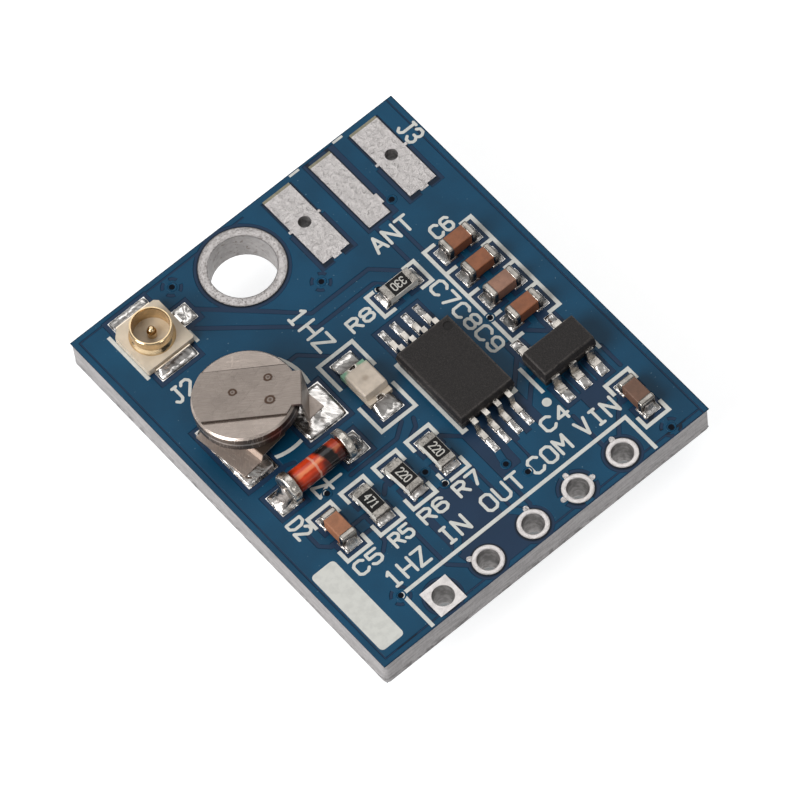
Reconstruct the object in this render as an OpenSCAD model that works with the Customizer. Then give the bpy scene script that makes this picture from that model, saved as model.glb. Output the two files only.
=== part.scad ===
// Satellite positioning module on a small circuit board. The receiver in its metal can hangs below
// the board, and the memory, regulator, backup cell, pulse lamp and antenna connections sit on top.
// Millimetres, +Z up. The origin lies below the board's centre, on the flat face of the can.

/* [Board] */
// Width of the board, along the header
board_w = 18.4; // [18.2:0.1:24]
// Length of the board, from the header edge to the antenna edge
board_l = 21.2; // [21:0.1:28]
// Thickness of the laminate
board_t = 1.6; // [0.8:0.1:2.4]
// Radius of the board's corners
board_corner_r = 0.25; // [0.1:0.05:0.8]
// Thickness of the tinned copper pads
pad_t = 0.05; // [0.03:0.01:0.1]
// Thickness of the printed ink
ink_t = 0.02; // [0.01:0.01:0.04]
// Width of the printed lines
ink_w = 0.18; // [0.12:0.01:0.22]

/* [Header holes] */
// Number of header holes
header_count = 5; // [2:1:5]
// Distance between header holes
header_pitch = 2.54; // [2:0.01:2.6]
// Finished bore of a header hole
header_hole_d = 1; // [0.8:0.05:1.1]
// Outer size of a header pad
header_pad_d = 1.45; // [1.3:0.05:1.65]
// Distance from the board's edge to the line of header holes
header_inset = 0.9; // [0.85:0.05:1.1]
// Sideways place of the header's middle
header_x = -0.06; // [-0.3:0.02:0.3]
// Distance from the header holes to the printed frame around them
header_frame_gap = 1.24; // [1:0.02:1.3]

/* [Mounting hole] */
// Finished bore of the mounting hole
mount_hole_d = 3.1; // [2.2:0.1:3.3]
// Outer size of its tinned ring
mount_ring_d = 3.95; // [3.6:0.05:4.2]
// Sideways place of the mounting hole
mount_x = -1.2; // [-1.4:0.05:-0.8]
// Distance from the antenna edge to the mounting hole
mount_inset = 2.2; // [2.15:0.05:2.6]

/* [Edge pads for an antenna socket] */
// Width of the two outer pads
edge_pad_w = 1.5; // [1.2:0.05:1.8]
// Width of the middle pad
edge_signal_w = 1.2; // [0.8:0.05:1.5]
// Length of the pads
edge_pad_l = 4.15; // [3.5:0.05:4.3]
// Distance between neighbouring pads
edge_pad_pitch = 2.5; // [2.3:0.05:2.6]
// Sideways place of the middle pad
edge_pad_x = 4.75; // [4.6:0.05:4.9]
// Gap between the pads and the board's edge
edge_pad_inset = 0.33; // [0.2:0.01:0.5]
// Plated hole in each outer pad
edge_hole_d = 0.6; // [0.4:0.05:0.8]

/* [Chip resistors and capacitors] */
// Length of a chip
chip_l = 1.6; // [1.4:0.05:1.7]
// Width of a chip
chip_w = 0.8; // [0.7:0.05:0.9]
// Height of a resistor
resistor_h = 0.45; // [0.35:0.05:0.6]
// Height of a capacitor
capacitor_h = 0.78; // [0.6:0.02:0.95]
// Length of the metal end caps
chip_end_l = 0.32; // [0.2:0.02:0.45]
// Thickness of the metal on the end caps
chip_end_t = 0.03; // [0.02:0.01:0.05]
// Thickness of a resistor's black coat
resistor_coat_t = 0.03; // [0.02:0.01:0.05]
// Length of pad left open beyond a chip's end
chip_pad_reach = 0.27; // [0.15:0.01:0.35]
// Length of pad below a chip's end
chip_pad_under = 0.42; // [0.3:0.02:0.55]
// Distance between the chips of the row by the header
chip_row_pitch = 1.85; // [1.75:0.01:1.95]
// Distance between the chips of the capacitor column
chip_column_pitch = 1.48; // [1.3:0.01:1.55]
// Angle by which the middle resistor was set askew
resistor_skew = 3; // [-4:0.5:4]

/* [Memory chip] */
// Body size across the leads
memory_w = 3; // [2.8:0.05:3.1]
// Body size from one row of leads to the other
memory_l = 4.4; // [4:0.05:4.5]
// Height of the body above its underside
memory_h = 0.95; // [0.7:0.05:1.1]
// Distance between the toes of the two rows of leads
memory_span = 6.4; // [6:0.05:6.6]
// Distance between leads
memory_pitch = 0.65; // [0.6:0.01:0.7]
// Number of leads in a row
memory_lead_count = 4; // [2:1:4]
// Width of a lead
memory_lead_w = 0.25; // [0.18:0.01:0.32]
// Distance between the outer ends of the two rows of pads
memory_pad_span = 7.82; // [7.2:0.02:7.9]

/* [Regulator] */
// Body size along its leads
regulator_w = 2.9; // [2.7:0.05:3]
// Body size from front to back
regulator_l = 1.6; // [1.4:0.05:1.7]
// Height of the body above its underside
regulator_h = 1.1; // [0.8:0.05:1.3]
// Distance between the toes of the two rows of leads
regulator_span = 2.85; // [2.6:0.05:3]
// Distance between leads
regulator_pitch = 0.96; // [0.9:0.01:1]
// Width of a lead
regulator_lead_w = 0.4; // [0.3:0.02:0.46]
// Distance between the outer ends of the two rows of pads
regulator_pad_span = 3.86; // [3.5:0.02:3.9]

/* [Moulded packages] */
// Thickness of the leads
lead_t = 0.15; // [0.1:0.01:0.18]
// Length of a lead's foot
lead_foot_l = 0.5; // [0.4:0.02:0.56]
// Gap below a moulded body
body_lift = 0.1; // [0.05:0.01:0.15]
// Inward lean of a moulded side over its height
mould_draft = 0.07; // [0.02:0.01:0.12]

/* [Backup cell] */
// Diameter of the cell
cell_d = 4.7; // [4.4:0.05:4.8]
// Thickness of the cell
cell_h = 1.4; // [1.2:0.05:1.6]
// Diameter of its lower cap
cell_cap_d = 3.4; // [3:0.05:3.6]
// Height of the straight wall of its can
cell_wall_h = 0.75; // [0.5:0.05:0.9]
// Angle by which the cell leans back
cell_tilt = 8; // [0:0.5:10]
// Angle by which the cell and its tabs were set askew
cell_turn = 6.5; // [0:0.5:8]
// Thickness of the welded tabs
tab_t = 0.12; // [0.08:0.01:0.15]
// Width of the strip across the cell's top
tab_strip_w = 2.58; // [2.2:0.02:2.8]
// Width of the strip where it folds down
tab_neck_w = 1.75; // [1.5:0.05:1.9]
// Length of the fold at its foot
tab_foot_w = 1.36; // [1:0.02:1.5]
// Height of the step in the lower tab
tab_rise = 0.39; // [0.3:0.01:0.5]
// Width of the lower tab
tab_lower_w = 2.95; // [2.6:0.05:3.1]

/* [Diode] */
// Length over the end caps
diode_l = 3.55; // [3.3:0.05:3.7]
// Diameter of the end caps
diode_cap_d = 1.45; // [1.3:0.05:1.6]
// Diameter of the glass
diode_glass_d = 1.1; // [0.9:0.05:1.5]
// Length of an end cap
diode_cap_l = 0.43; // [0.3:0.01:0.55]

/* [Pulse lamp] */
// Length of the lamp
lamp_l = 2; // [1.8:0.05:2.1]
// Width of the lamp
lamp_w = 1.25; // [1.1:0.05:1.4]
// Thickness of its base
lamp_base_t = 0.3; // [0.2:0.02:0.4]
// Length of the moulded lens
lamp_lens_l = 1.55; // [1.2:0.05:1.6]
// Height of the moulded lens
lamp_lens_h = 0.42; // [0.3:0.02:0.6]
// Radius of the notch in each end
lamp_notch_r = 0.22; // [0.15:0.01:0.24]

/* [Coaxial socket] */
// Side of the moulded base
coax_w = 2.6; // [2.4:0.05:2.7]
// Height of the moulded base
coax_base_h = 0.4; // [0.36:0.02:0.5]
// Height to the rim of the shell
coax_h = 1.25; // [1.1:0.05:1.4]
// Outer diameter of the shell's rim
coax_rim_d = 1.92; // [1.8:0.02:2]
// Inner diameter of the shell
coax_bore_d = 1.7; // [1.6:0.02:1.72]
// Diameter of the centre pin
coax_pin_d = 0.44; // [0.3:0.02:0.5]
// Width of the earth feet
coax_foot_w = 1.9; // [1.6:0.05:2]

/* [Receiver] */
// Length of the receiver's carrier
receiver_l = 16; // [15.4:0.1:17]
// Width of the receiver's carrier
receiver_w = 12.2; // [11:0.1:12.4]
// Height of the receiver from the carrier's pads to the face of its can
receiver_h = 2.4; // [2.2:0.1:3]
// Thickness of the carrier
carrier_t = 0.8; // [0.6:0.05:1]
// Sheet of the can
can_t = 0.2; // [0.1:0.02:0.3]
// Distance between the carrier's edge contacts
contact_pitch = 1.1; // [1:0.02:1.15]
// Radius of an edge contact's notch
contact_r = 0.25; // [0.15:0.01:0.35]
// Gap between the two groups of edge contacts
contact_gap = 3; // [2:0.1:3.2]

/* [Hidden] */
$fn = 48;

// Levels: underside of the board, its top, and the face of the pads that the pieces stand on
board_z = receiver_h + pad_t;
top_z = board_z + board_t;
seat_z = top_z + pad_t;
near_y = -board_l / 2;
far_y = board_l / 2;
// How far a cutting shape runs past the face that it cuts
overrun = 0.1;

header_y = near_y + header_inset;
mount_y = far_y - mount_inset;
edge_pad_y = far_y - edge_pad_inset - edge_pad_l / 2;
edge_hole_shift = 0.08;
edge_hole_y = edge_pad_y + edge_hole_shift;
edge_nub = 0.14;
edge_bump_up = 0.85;

// Turn of a piece that lies along Y
upright = 90;

// Places of the pieces on top of the board, from its middle or from the edge that they belong to
chip_row_x = -6.44;
chip_row_y = -4.35;
chip_column_x = 6.46;
chip_column_y = 2.83;
lamp_resistor_place = [3.15, 2.93, 0];
supply_capacitor_inset = 2.5;
supply_capacitor_place = [7.26, near_y + supply_capacitor_inset, upright];
lamp_at = [-1, 0.22];
diode_at = [-5.31, -1.6];
memory_at = [2.11, -2.08];
regulator_at = [6.07, -4.38];
coax_inset = 2.32;
coax_at = [-6.38, far_y - coax_inset];
cell_x = -5.8;
cell_y = 2.32;

function row_place(i, skew = 0) = [chip_row_x + i * chip_row_pitch, chip_row_y, upright + skew];
function column_place(i) = [chip_column_x, chip_column_y - i * chip_column_pitch, 0];
resistor_places = [row_place(1), row_place(2, resistor_skew), row_place(3), lamp_resistor_place];
capacitor_places = concat([for (i = [0:3]) column_place(i)], [row_place(0), supply_capacitor_place]);
chip_places = concat(resistor_places, capacitor_places);

// Chips: pads, printed brackets and solder follow the chip's own size
chip_pad_margin = 0.04;
bracket_gap = [0.28, 0.2];
chip_pad_l = chip_pad_reach + chip_pad_under;
chip_pad_w = chip_w + 2 * chip_pad_margin;
chip_pad_end = chip_l / 2 + chip_pad_reach;
bracket_l = 2 * chip_pad_end + 2 * bracket_gap[0] + ink_w;
bracket_w = chip_pad_w + 2 * bracket_gap[1] + ink_w;
bracket_leg = 0.72;

// Leads: the seam of the mould lies at the level of the shoulders
lead_run = 0.12;
lead_shoulder = 0.04;
lead_pad_margin = 0.05;
memory_seam_z = body_lift + memory_h / 2;
regulator_seam_z = body_lift + regulator_h / 2;
memory_pad_l = (memory_pad_span - memory_span) / 2 + lead_foot_l + lead_pad_margin;
memory_pad_w = memory_lead_w + lead_pad_margin;
regulator_pad_l = (regulator_pad_span - regulator_span) / 2 + lead_foot_l;
regulator_pad_w = regulator_lead_w + lead_pad_margin;
memory_mark_d = 0.45;
memory_mark_depth = 0.04;
memory_mark_inset = [0.4, 0.5];
pin_spot_d = 0.43;
pin_spot_at = [-1.83, -1.25];

// Cell: the lower cap touches the lower tab at its back edge, because the cell leans
cell_r = cell_d / 2;
cell_cap_h = 0.25;
cell_crimp_inset = 0.35;
cell_rim = 0.09;
weld_gap = 0.01;
tab_clearance = 0.06;
tab_splay = 0.15;
tab_lower_inset = 0.17;
cell_lift = tab_rise + tab_t + weld_gap + cell_cap_d / 2 * sin(cell_tilt);
tab_strip_turn = cell_turn - 45;
tab_fold_s = cell_r + tab_t / 2 + tab_clearance;
tab_foot_s = cell_r + tab_splay;
tab_foot_v = 0.45;
tab_lower_u = tab_lower_inset - cell_r;
tab_lower_v = -1.75;
tab_lower_foot = 1.05;
tab_lower_ramp = 0.13;
tab_lower_end = 0.7;
tab_corner_cut = 0.35;
cell_left_pad = [1.65, 3.7];
cell_left_pad_shift = [0.97, -0.67];
cell_left_pad_at = [cell_x - cell_r, cell_y] + cell_left_pad_shift;
cell_right_pad = [2.15, 2.1];
cell_right_pad_shift = [0.06, -0.32];
cell_right_pad_at = [cell_x, cell_y] + cell_right_pad_shift
    + turned([tab_foot_s, tab_foot_v], tab_strip_turn);
cell_ring_r = 2.57;
cell_ring_at = [cell_x + 0.55, cell_y + 0.33];

// Diode and lamp
diode_film = 0.01;
diode_pad_l = 1.25;
diode_pad_w = 1.2;
diode_pad_reach = 0.7;
diode_cap_edge = 0.08;
lamp_foot_t = 0.04;
lamp_foot_l = 0.4;
lamp_plating_t = 0.05;
lamp_pad_l = 1.05;
lamp_pad_w = 1.2;
lamp_pad_reach = 0.82;
lamp_lens_edge = 0.06;
lamp_lens_lean = 0.1;
lamp_bracket = [4.45, 2.1];
lamp_bracket_leg = 1.65;

// Coaxial socket: the shell and the contact are moulded into the base
coax_foot_t = 0.25;
coax_skirt_z = 0.2;
coax_foot_reach = 0.12;
coax_strip_t = 0.12;
coax_strip_reach = 0.2;
coax_strip_w = 0.45;
coax_flange_d = coax_rim_d + 0.18;
coax_skirt_d = coax_rim_d + 0.06;
coax_neck_d = coax_rim_d - 0.08;
coax_waist_z = coax_base_h + 0.24;
coax_rim_z = coax_base_h + 0.36;
coax_pin_top = coax_h - 0.22;
coax_corner_cut = 0.34;
coax_corner_r = 0.1;
coax_earth_pad = [coax_foot_w + 0.15, 0.78];
coax_signal_pad = [0.77, 0.95];
coax_earth_pad_out = 0.22;
coax_signal_pad_out = 0.485;
coax_line_l = 2.8;
coax_tick_l = 0.7;
coax_tick_y = -1.05;

// Receiver
can_inset_x = 0.5;
can_inset_y = 0.75;
can_l = receiver_l - 2 * can_inset_x;
can_w = receiver_w - 2 * can_inset_y;
can_h = receiver_h - carrier_t;
can_corner_r = 0.6;
contact_groups = [7, 5];
receiver_pad_reach = 0.5;
receiver_pad_l = 1.2;
receiver_y = (header_y + header_pad_d / 2 + mount_y - mount_ring_d / 2) / 2;
receiver_far_y = receiver_y + receiver_w / 2 + receiver_pad_reach;
receiver_clearance = 0.3;
edge_under_l = min(edge_pad_l, far_y - edge_pad_inset - receiver_far_y - receiver_clearance);
receiver_pad_w = 0.75;
receiver_chip_size = [5, 5, 0.85];
receiver_oscillator_size = [2.5, 2, 0.7];
receiver_filter_size = [1.4, 1.1, 0.5];
receiver_chip_at = [-1, 0];
receiver_oscillator_at = [4, 1.2];
receiver_filter_at = [4, -2];

tin = "silver";
copper_mask = [0.13, 0.31, 0.44];
mould_black = [0.16, 0.15, 0.15];

function turned(p, a) = [p[0] * cos(a) - p[1] * sin(a), p[0] * sin(a) + p[1] * cos(a)];

// Where the edge contacts stand along one side of the receiver, from its middle
contact_run = (contact_groups[0] + contact_groups[1] - 2) * contact_pitch + contact_gap;
contact_xs = [for (i = [0:contact_groups[0] + contact_groups[1] - 1])
    i * contact_pitch - contact_run / 2
    + (i < contact_groups[0] ? 0 : contact_gap - contact_pitch)];

// Stands a shape on the pads of the board; a chip's place holds its turn as well
module on_pads(place, turn = 0) {
    translate([place[0], place[1], seat_z]) rotate(len(place) > 2 ? place[2] : turn) children();
}

// Lays a flat outline on the bare board at a place, as thick as the pads
module pad_at(place, turn = 0) {
    translate([place[0], place[1], top_z]) rotate(len(place) > 2 ? place[2] : turn)
        linear_extrude(pad_t) children();
}

// Both ends of a piece that lies along X
module both_ends() {
    for (side = [0, 180]) rotate(side) children();
}

// Rectangle with round corners, about its middle
module round_rect(l, w, r) {
    square([l - 2 * r, w], center = true);
    square([l, w - 2 * r], center = true);
    for (x = [-1, 1], y = [-1, 1]) translate([x * (l / 2 - r), y * (w / 2 - r)]) circle(r);
}

// Block about the Z axis, standing on the XY plane
module block(l, w, h) {
    translate([-l / 2, -w / 2, 0]) cube([l, w, h]);
}

// Solder that runs from an upright face at x = 0 out along the pad
module fillet(reach, rise, width) {
    rotate([90, 0, 0]) linear_extrude(width, center = true)
        polygon([[0, 0], [reach, 0], [0.6 * reach, 0.12 * rise], [0.25 * reach, 0.42 * rise], [0, rise]]);
}

// Lays a flat outline on both faces of the board, as thick as the pads
module on_both_faces() {
    for (z = [board_z - pad_t, top_z]) translate([0, 0, z]) linear_extrude(pad_t) children();
}

// Side view of a body l wide at its middle levels, which leans in by d towards its top and bottom
module barrel_side(l, d, levels) {
    polygon([
        [d - l / 2, levels[0]], [l / 2 - d, levels[0]], [l / 2, levels[1]], [l / 2, levels[2]],
        [l / 2 - d, levels[3]], [d - l / 2, levels[3]], [-l / 2, levels[2]], [-l / 2, levels[1]]]);
}

// Moulded body whose sides lean in above and below the band that the leads leave
module moulded_body(l, w, h, seam_z) {
    levels = [seam_z - h / 2, seam_z - lead_t / 2, seam_z + lead_t / 2, seam_z + h / 2];
    intersection() {
        rotate([90, 0, 0]) linear_extrude(w, center = true) barrel_side(l, mould_draft, levels);
        rotate([90, 0, 90]) linear_extrude(l, center = true) barrel_side(w, mould_draft, levels);
    }
}

// Gull-wing lead from the body's side at x = 0 down to its toe
module lead(reach, width, seam_z) {
    back = 0.6 * lead_t;
    knee = max(reach - lead_foot_l - lead_run, back + lead_shoulder);
    rotate([90, 0, 0]) linear_extrude(width, center = true) polygon([
        [0, seam_z - lead_t / 2], [knee - back, seam_z - lead_t / 2], [knee - back + lead_run, 0],
        [reach, 0], [reach, lead_t], [knee + lead_run, lead_t],
        [knee, seam_z + lead_t / 2], [0, seam_z + lead_t / 2]]);
}

// Closed printed outline about its middle
module outline(l, w) {
    difference() {
        square([l, w], center = true);
        square([l - 2 * ink_w, w - 2 * ink_w], center = true);
    }
}

// Pair of facing printed brackets around a piece that lies along X
module bracket(l, w, leg) {
    difference() {
        outline(l, w);
        square([l - 2 * leg, w + overrun], center = true);
    }
}

// Frame of the tilted cell: its Z axis is the cell's own axis, from the lower cap
module on_cell() {
    translate([cell_x, cell_y, seat_z + cell_lift]) rotate([-cell_tilt, 0, 0]) children();
}

module header_places() {
    for (i = [0:header_count - 1])
        translate([header_x + (i - (header_count - 1) / 2) * header_pitch, header_y, 0]) {
            $first = i == 0;
            children();
        }
}

module circuit_board() {
    color(copper_mask) difference() {
        translate([0, 0, board_z]) linear_extrude(board_t) round_rect(board_w, board_l, board_corner_r);
        translate([0, 0, board_z - overrun]) {
            header_places() cylinder(d = header_hole_d, h = board_t + 2 * overrun);
            translate([mount_x, mount_y, 0]) cylinder(d = mount_hole_d, h = board_t + 2 * overrun);
            edge_holes() cylinder(d = edge_hole_d, h = board_t + 2 * overrun);
        }
    }
}

module edge_holes() {
    for (x = [-1, 1]) translate([edge_pad_x + x * edge_pad_pitch, edge_hole_y, 0]) children();
}

module mounting_hole_rings() {
    color(tin) translate([mount_x, mount_y, 0]) on_both_faces() difference() {
        circle(d = mount_ring_d);
        circle(d = mount_hole_d);
    }
}

// The first pad of the header is square, so that the pins can be counted from it
module header_hole_rings() {
    color(tin) header_places() on_both_faces() difference() {
        if ($first) square(header_pad_d, center = true);
        else circle(d = header_pad_d);
        circle(d = header_hole_d);
    }
}

// Outer edge pad of a given length, whose far end lies at the origin's Y
module edge_earth_pad(length) {
    hole_y = edge_hole_y - far_y + edge_pad_inset;
    difference() {
        union() {
            translate([-edge_pad_w / 2, -length]) square([edge_pad_w, length]);
            translate([0, hole_y]) square([edge_pad_w + 2 * edge_nub, edge_nub], center = true);
            translate([0, -length]) square([3 * edge_nub, 2 * edge_nub], center = true);
        }
        translate([0, hole_y]) circle(d = edge_hole_d);
    }
}

module edge_pads() {
    color(tin) {
        for (x = [-1, 1]) translate([edge_pad_x + x * edge_pad_pitch, far_y - edge_pad_inset, 0]) {
            translate([0, 0, top_z]) linear_extrude(pad_t) edge_earth_pad(edge_pad_l);
            translate([0, 0, board_z - pad_t]) linear_extrude(pad_t) edge_earth_pad(edge_under_l);
        }
        translate([edge_pad_x, edge_pad_y, top_z]) linear_extrude(pad_t) {
            square([edge_signal_w, edge_pad_l], center = true);
            translate([edge_signal_w / 2, edge_bump_up - edge_pad_l / 2])
                square([2 * edge_nub, 4 * edge_nub], center = true);
        }
    }
}

module component_pads() {
    color(tin) {
        for (place = chip_places) pad_at(place) both_ends()
            translate([chip_pad_end - chip_pad_l, -chip_pad_w / 2]) square([chip_pad_l, chip_pad_w]);
        pad_at(memory_at) both_ends() memory_rows()
            translate([memory_pad_span / 2 - memory_pad_l, -memory_pad_w / 2])
                square([memory_pad_l, memory_pad_w]);
        pad_at(regulator_at) regulator_rows()
            translate([regulator_pad_span / 2 - regulator_pad_l, -regulator_pad_w / 2])
                square([regulator_pad_l, regulator_pad_w]);
        pad_at(lamp_at, upright) both_ends()
            translate([lamp_l / 2 + lamp_pad_reach - lamp_pad_l, -lamp_pad_w / 2])
                square([lamp_pad_l, lamp_pad_w]);
        pad_at(diode_at) both_ends()
            translate([diode_l / 2 + diode_pad_reach - diode_pad_l, -diode_pad_w / 2])
                square([diode_pad_l, diode_pad_w]);
        pad_at(coax_at) {
            for (y = [-1, 1]) translate([0, y * (coax_w / 2 + coax_earth_pad_out)])
                square(coax_earth_pad, center = true);
            translate([coax_w / 2 + coax_signal_pad_out, 0]) square(coax_signal_pad, center = true);
        }
        pad_at(cell_left_pad_at) square(cell_left_pad, center = true);
        pad_at(cell_right_pad_at) square(cell_right_pad, center = true);
    }
}

// Rows of leads: each child lies along X and is turned to its row
module memory_rows() {
    for (i = [0:memory_lead_count - 1])
        rotate(90) translate([0, (i - (memory_lead_count - 1) / 2) * memory_pitch]) children();
}

module regulator_rows() {
    for (i = [-1:1]) rotate(-90) translate([0, i * regulator_pitch]) children();
    for (i = [-1, 1]) rotate(90) translate([0, i * regulator_pitch]) children();
}

module receiver_contacts() {
    for (side = [0, 180]) translate([0, receiver_y, 0]) rotate(side)
        for (x = contact_xs) translate([(side == 0 ? x : -x), receiver_w / 2, 0]) children();
}

module receiver_pads() {
    color(tin) translate([0, 0, receiver_h]) linear_extrude(pad_t) receiver_contacts()
        translate([-receiver_pad_w / 2, receiver_pad_reach - receiver_pad_l])
            square([receiver_pad_w, receiver_pad_l]);
}

// Lays an outline on the bare board as thick as the ink
module ink_at(place, turn = 0) {
    translate([place[0], place[1], top_z]) rotate(turn) linear_extrude(ink_t) children();
}

// Frame of the capacitor column, with a tick at each side between two neighbours
module column_frame() {
    difference() {
        square([bracket_l, 4 * chip_column_pitch + ink_w], center = true);
        for (i = [0:3]) translate([0, (i - 1.5) * chip_column_pitch])
            square([bracket_l - 2 * ink_w, chip_column_pitch - ink_w], center = true);
        square([bracket_l - 2 * bracket_leg, 5 * chip_column_pitch], center = true);
    }
}

// Printed frame around the header, open at the board's edge
module header_frame() {
    frame_l = (header_count - 1) * header_pitch + 2 * header_frame_gap;
    depth = header_frame_gap + header_inset - ink_w;
    translate([0, header_frame_gap - depth / 2]) difference() {
        square([frame_l + ink_w, depth + ink_w], center = true);
        translate([0, -ink_w]) square([frame_l - ink_w, depth + ink_w], center = true);
    }
}

// White outlines around the pieces, without any lettering
module outline_print() {
    dash = [0.55, 0.65 * ink_w];
    color("whitesmoke") {
        ink_at([header_x, header_y]) header_frame();
        for (place = concat(resistor_places, [row_place(0), supply_capacitor_place]))
            ink_at(place, round(place[2] / upright) * upright)
                bracket(bracket_l, bracket_w, bracket_leg);
        ink_at([chip_column_x, chip_column_y - 1.5 * chip_column_pitch]) column_frame();
        ink_at(lamp_at, upright) bracket(lamp_bracket[0], lamp_bracket[1], lamp_bracket_leg);
        ink_at(memory_at) memory_outline();
        for (x = [-1, 1]) ink_at(regulator_at) translate([x * (regulator_w / 2 + ink_w), 0])
            square([ink_w, regulator_l], center = true);
        ink_at(regulator_at) translate(pin_spot_at) circle(d = pin_spot_d);
        ink_at(coax_at) translate([-coax_w / 2 - ink_w / 2, 0])
            square([ink_w, coax_line_l], center = true);
        ink_at(coax_at) translate([coax_w / 2 + ink_w / 2, coax_tick_y])
            square([ink_w, coax_tick_l], center = true);
        for (x = [-1, 1]) ink_at([edge_pad_x + x * edge_pad_pitch / 2, far_y - dash[1]])
            square(dash, center = true);
        ink_at([0, 0]) cell_ring();
    }
}

// Printed sides of the memory chip, which turn in a little at its corners and stop short of the leads
module memory_outline() {
    stop = 0.12;
    row_w = (memory_lead_count - 1) * memory_pitch + memory_pad_w + 2 * stop;
    difference() {
        outline(memory_w + ink_w, memory_l + ink_w);
        square([row_w, 2 * memory_l], center = true);
    }
}

// Printed circle below the cell, open at the cell's two pads and at the neighbours' pads
module cell_ring() {
    margin = [0.4, 0.4];
    difference() {
        translate(cell_ring_at) difference() {
            circle(cell_ring_r + ink_w / 2);
            circle(cell_ring_r - ink_w / 2);
        }
        translate(cell_left_pad_at) square(cell_left_pad + margin, center = true);
        translate(cell_right_pad_at) square(cell_right_pad + margin, center = true);
    }
}

// Shell of the socket: a skirt in the base, a flange on it, a waist and a straight rim
module coax_ring() {
    z = coax_base_h;
    bore_r = coax_bore_d / 2;
    rim_r = coax_rim_d / 2;
    lip = 0.04;
    rotate_extrude() polygon([
        [bore_r - lip, coax_skirt_z], [coax_skirt_d / 2 + lip, coax_skirt_z], [coax_skirt_d / 2, z],
        [coax_flange_d / 2, z], [coax_flange_d / 2 - lip, z + 2 * lip], [coax_neck_d / 2, coax_waist_z],
        [rim_r, coax_rim_z], [rim_r, coax_h - lip], [rim_r - lip, coax_h],
        [bore_r + lip / 2, coax_h], [bore_r, coax_h - lip], [bore_r, z]]);
}

module coax_shell_shape() {
    coax_ring();
    root = 0.4 * coax_bore_d;
    for (side = [0, 180]) rotate(side) translate([-coax_foot_w / 2, root, 0])
        cube([coax_foot_w, coax_w / 2 + coax_foot_reach - root, coax_foot_t]);
}

module coax_contact_shape() {
    pin_r = coax_pin_d / 2;
    rotate_extrude() polygon([
        [0, 0], [pin_r, 0], [pin_r, coax_pin_top - 0.28], [0.7 * pin_r, coax_pin_top - 0.18],
        [0.7 * pin_r, coax_pin_top - 0.08], [0.35 * pin_r, coax_pin_top], [0, coax_pin_top]]);
    translate([0, -coax_strip_w / 2, 0])
        cube([coax_w / 2 + coax_strip_reach, coax_strip_w, coax_strip_t]);
}

module coax_housing() {
    color([0.87, 0.82, 0.73]) on_pads(coax_at) difference() {
        linear_extrude(coax_base_h) difference() {
            round_rect(coax_w, coax_w, coax_corner_r);
            for (x = [-1, 1]) translate([x * coax_w / 2, coax_w / 2]) rotate(45)
                square(coax_corner_cut * (x < 0 ? 1 : 0.5) * sqrt(2), center = true);
        }
        coax_shell_shape();
        coax_contact_shape();
    }
}

module coax_shell() {
    color("goldenrod") on_pads(coax_at) coax_shell_shape();
}

module coax_contact() {
    color("gold") on_pads(coax_at) coax_contact_shape();
}

module backup_cell() {
    cap_r = cell_cap_d / 2;
    color([0.68, 0.65, 0.62]) on_cell() rotate_extrude() polygon([
        [0, 0], [cap_r, 0], [cap_r, cell_cap_h], [cell_r - cell_crimp_inset, cell_cap_h],
        [cell_r, cell_h - cell_wall_h], [cell_r, cell_h - cell_rim],
        [cell_r - cell_rim, cell_h], [0, cell_h]]);
}

// Rounded bar across the strip, where the upper tab folds
module tab_fold(length) {
    rotate([90, 0, 0]) cylinder(d = tab_t, h = length, center = true, $fn = 24);
}

module tab_top_fold() {
    on_cell() translate([0, 0, cell_h + tab_t / 2]) rotate(tab_strip_turn)
        translate([tab_fold_s, 0, 0]) tab_fold(tab_neck_w);
}

module cell_top_tab() {
    color([0.7, 0.67, 0.64]) {
        on_cell() translate([0, 0, cell_h]) rotate(tab_strip_turn) linear_extrude(tab_t) {
            intersection() {
                circle(cell_r - cell_rim);
                square([cell_d, tab_strip_w], center = true);
            }
            translate([0, -tab_neck_w / 2]) square([tab_fold_s, tab_neck_w]);
        }
        hull() {
            tab_top_fold();
            tab_foot_frame() translate([0, 0, tab_t / 2]) tab_fold(tab_foot_w);
        }
        tab_foot_frame() linear_extrude(tab_t)
            polygon([[0, -tab_foot_w / 2], [tab_foot_w / 2, 0], [0, tab_foot_w / 2]]);
    }
}

module tab_foot_frame() {
    translate([cell_x, cell_y, seat_z]) rotate(tab_strip_turn)
        translate([tab_foot_s, tab_foot_v, 0]) children();
}

module cell_bottom_tab() {
    u0 = tab_lower_u;
    u1 = u0 + tab_lower_foot;
    u2 = u1 + tab_lower_ramp;
    u3 = tab_lower_end;
    back = 0.3 * tab_t;
    color([0.6, 0.56, 0.52]) translate([cell_x, cell_y, seat_z]) rotate(cell_turn) difference() {
        translate([0, tab_lower_v + tab_lower_w, 0]) rotate([90, 0, 0])
            linear_extrude(tab_lower_w) polygon([
                [u0, 0], [u1, 0], [u2, tab_rise], [u3, tab_rise], [u3, tab_rise + tab_t],
                [u2 - back, tab_rise + tab_t], [u1 - back, tab_t], [u0, tab_t]]);
        translate([u3, tab_lower_v, 0]) rotate(45)
            block(tab_corner_cut * sqrt(2), tab_corner_cut * sqrt(2), tab_rise + tab_t + overrun);
    }
}

module along_diode() {
    on_pads(diode_at) translate([0, 0, diode_cap_d / 2 + diode_film]) rotate([0, 90, 0]) children();
}

module diode_glass() {
    glass_l = diode_l - 2 * diode_cap_l;
    glass_r = diode_glass_d / 2;
    shoulder = 0.12;
    color([0.75, 0.27, 0.13]) along_diode() rotate_extrude() polygon([
        [0, -glass_l / 2], [glass_r - shoulder, -glass_l / 2], [glass_r, shoulder - glass_l / 2],
        [glass_r, glass_l / 2 - shoulder], [glass_r - shoulder, glass_l / 2], [0, glass_l / 2]]);
}

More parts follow.
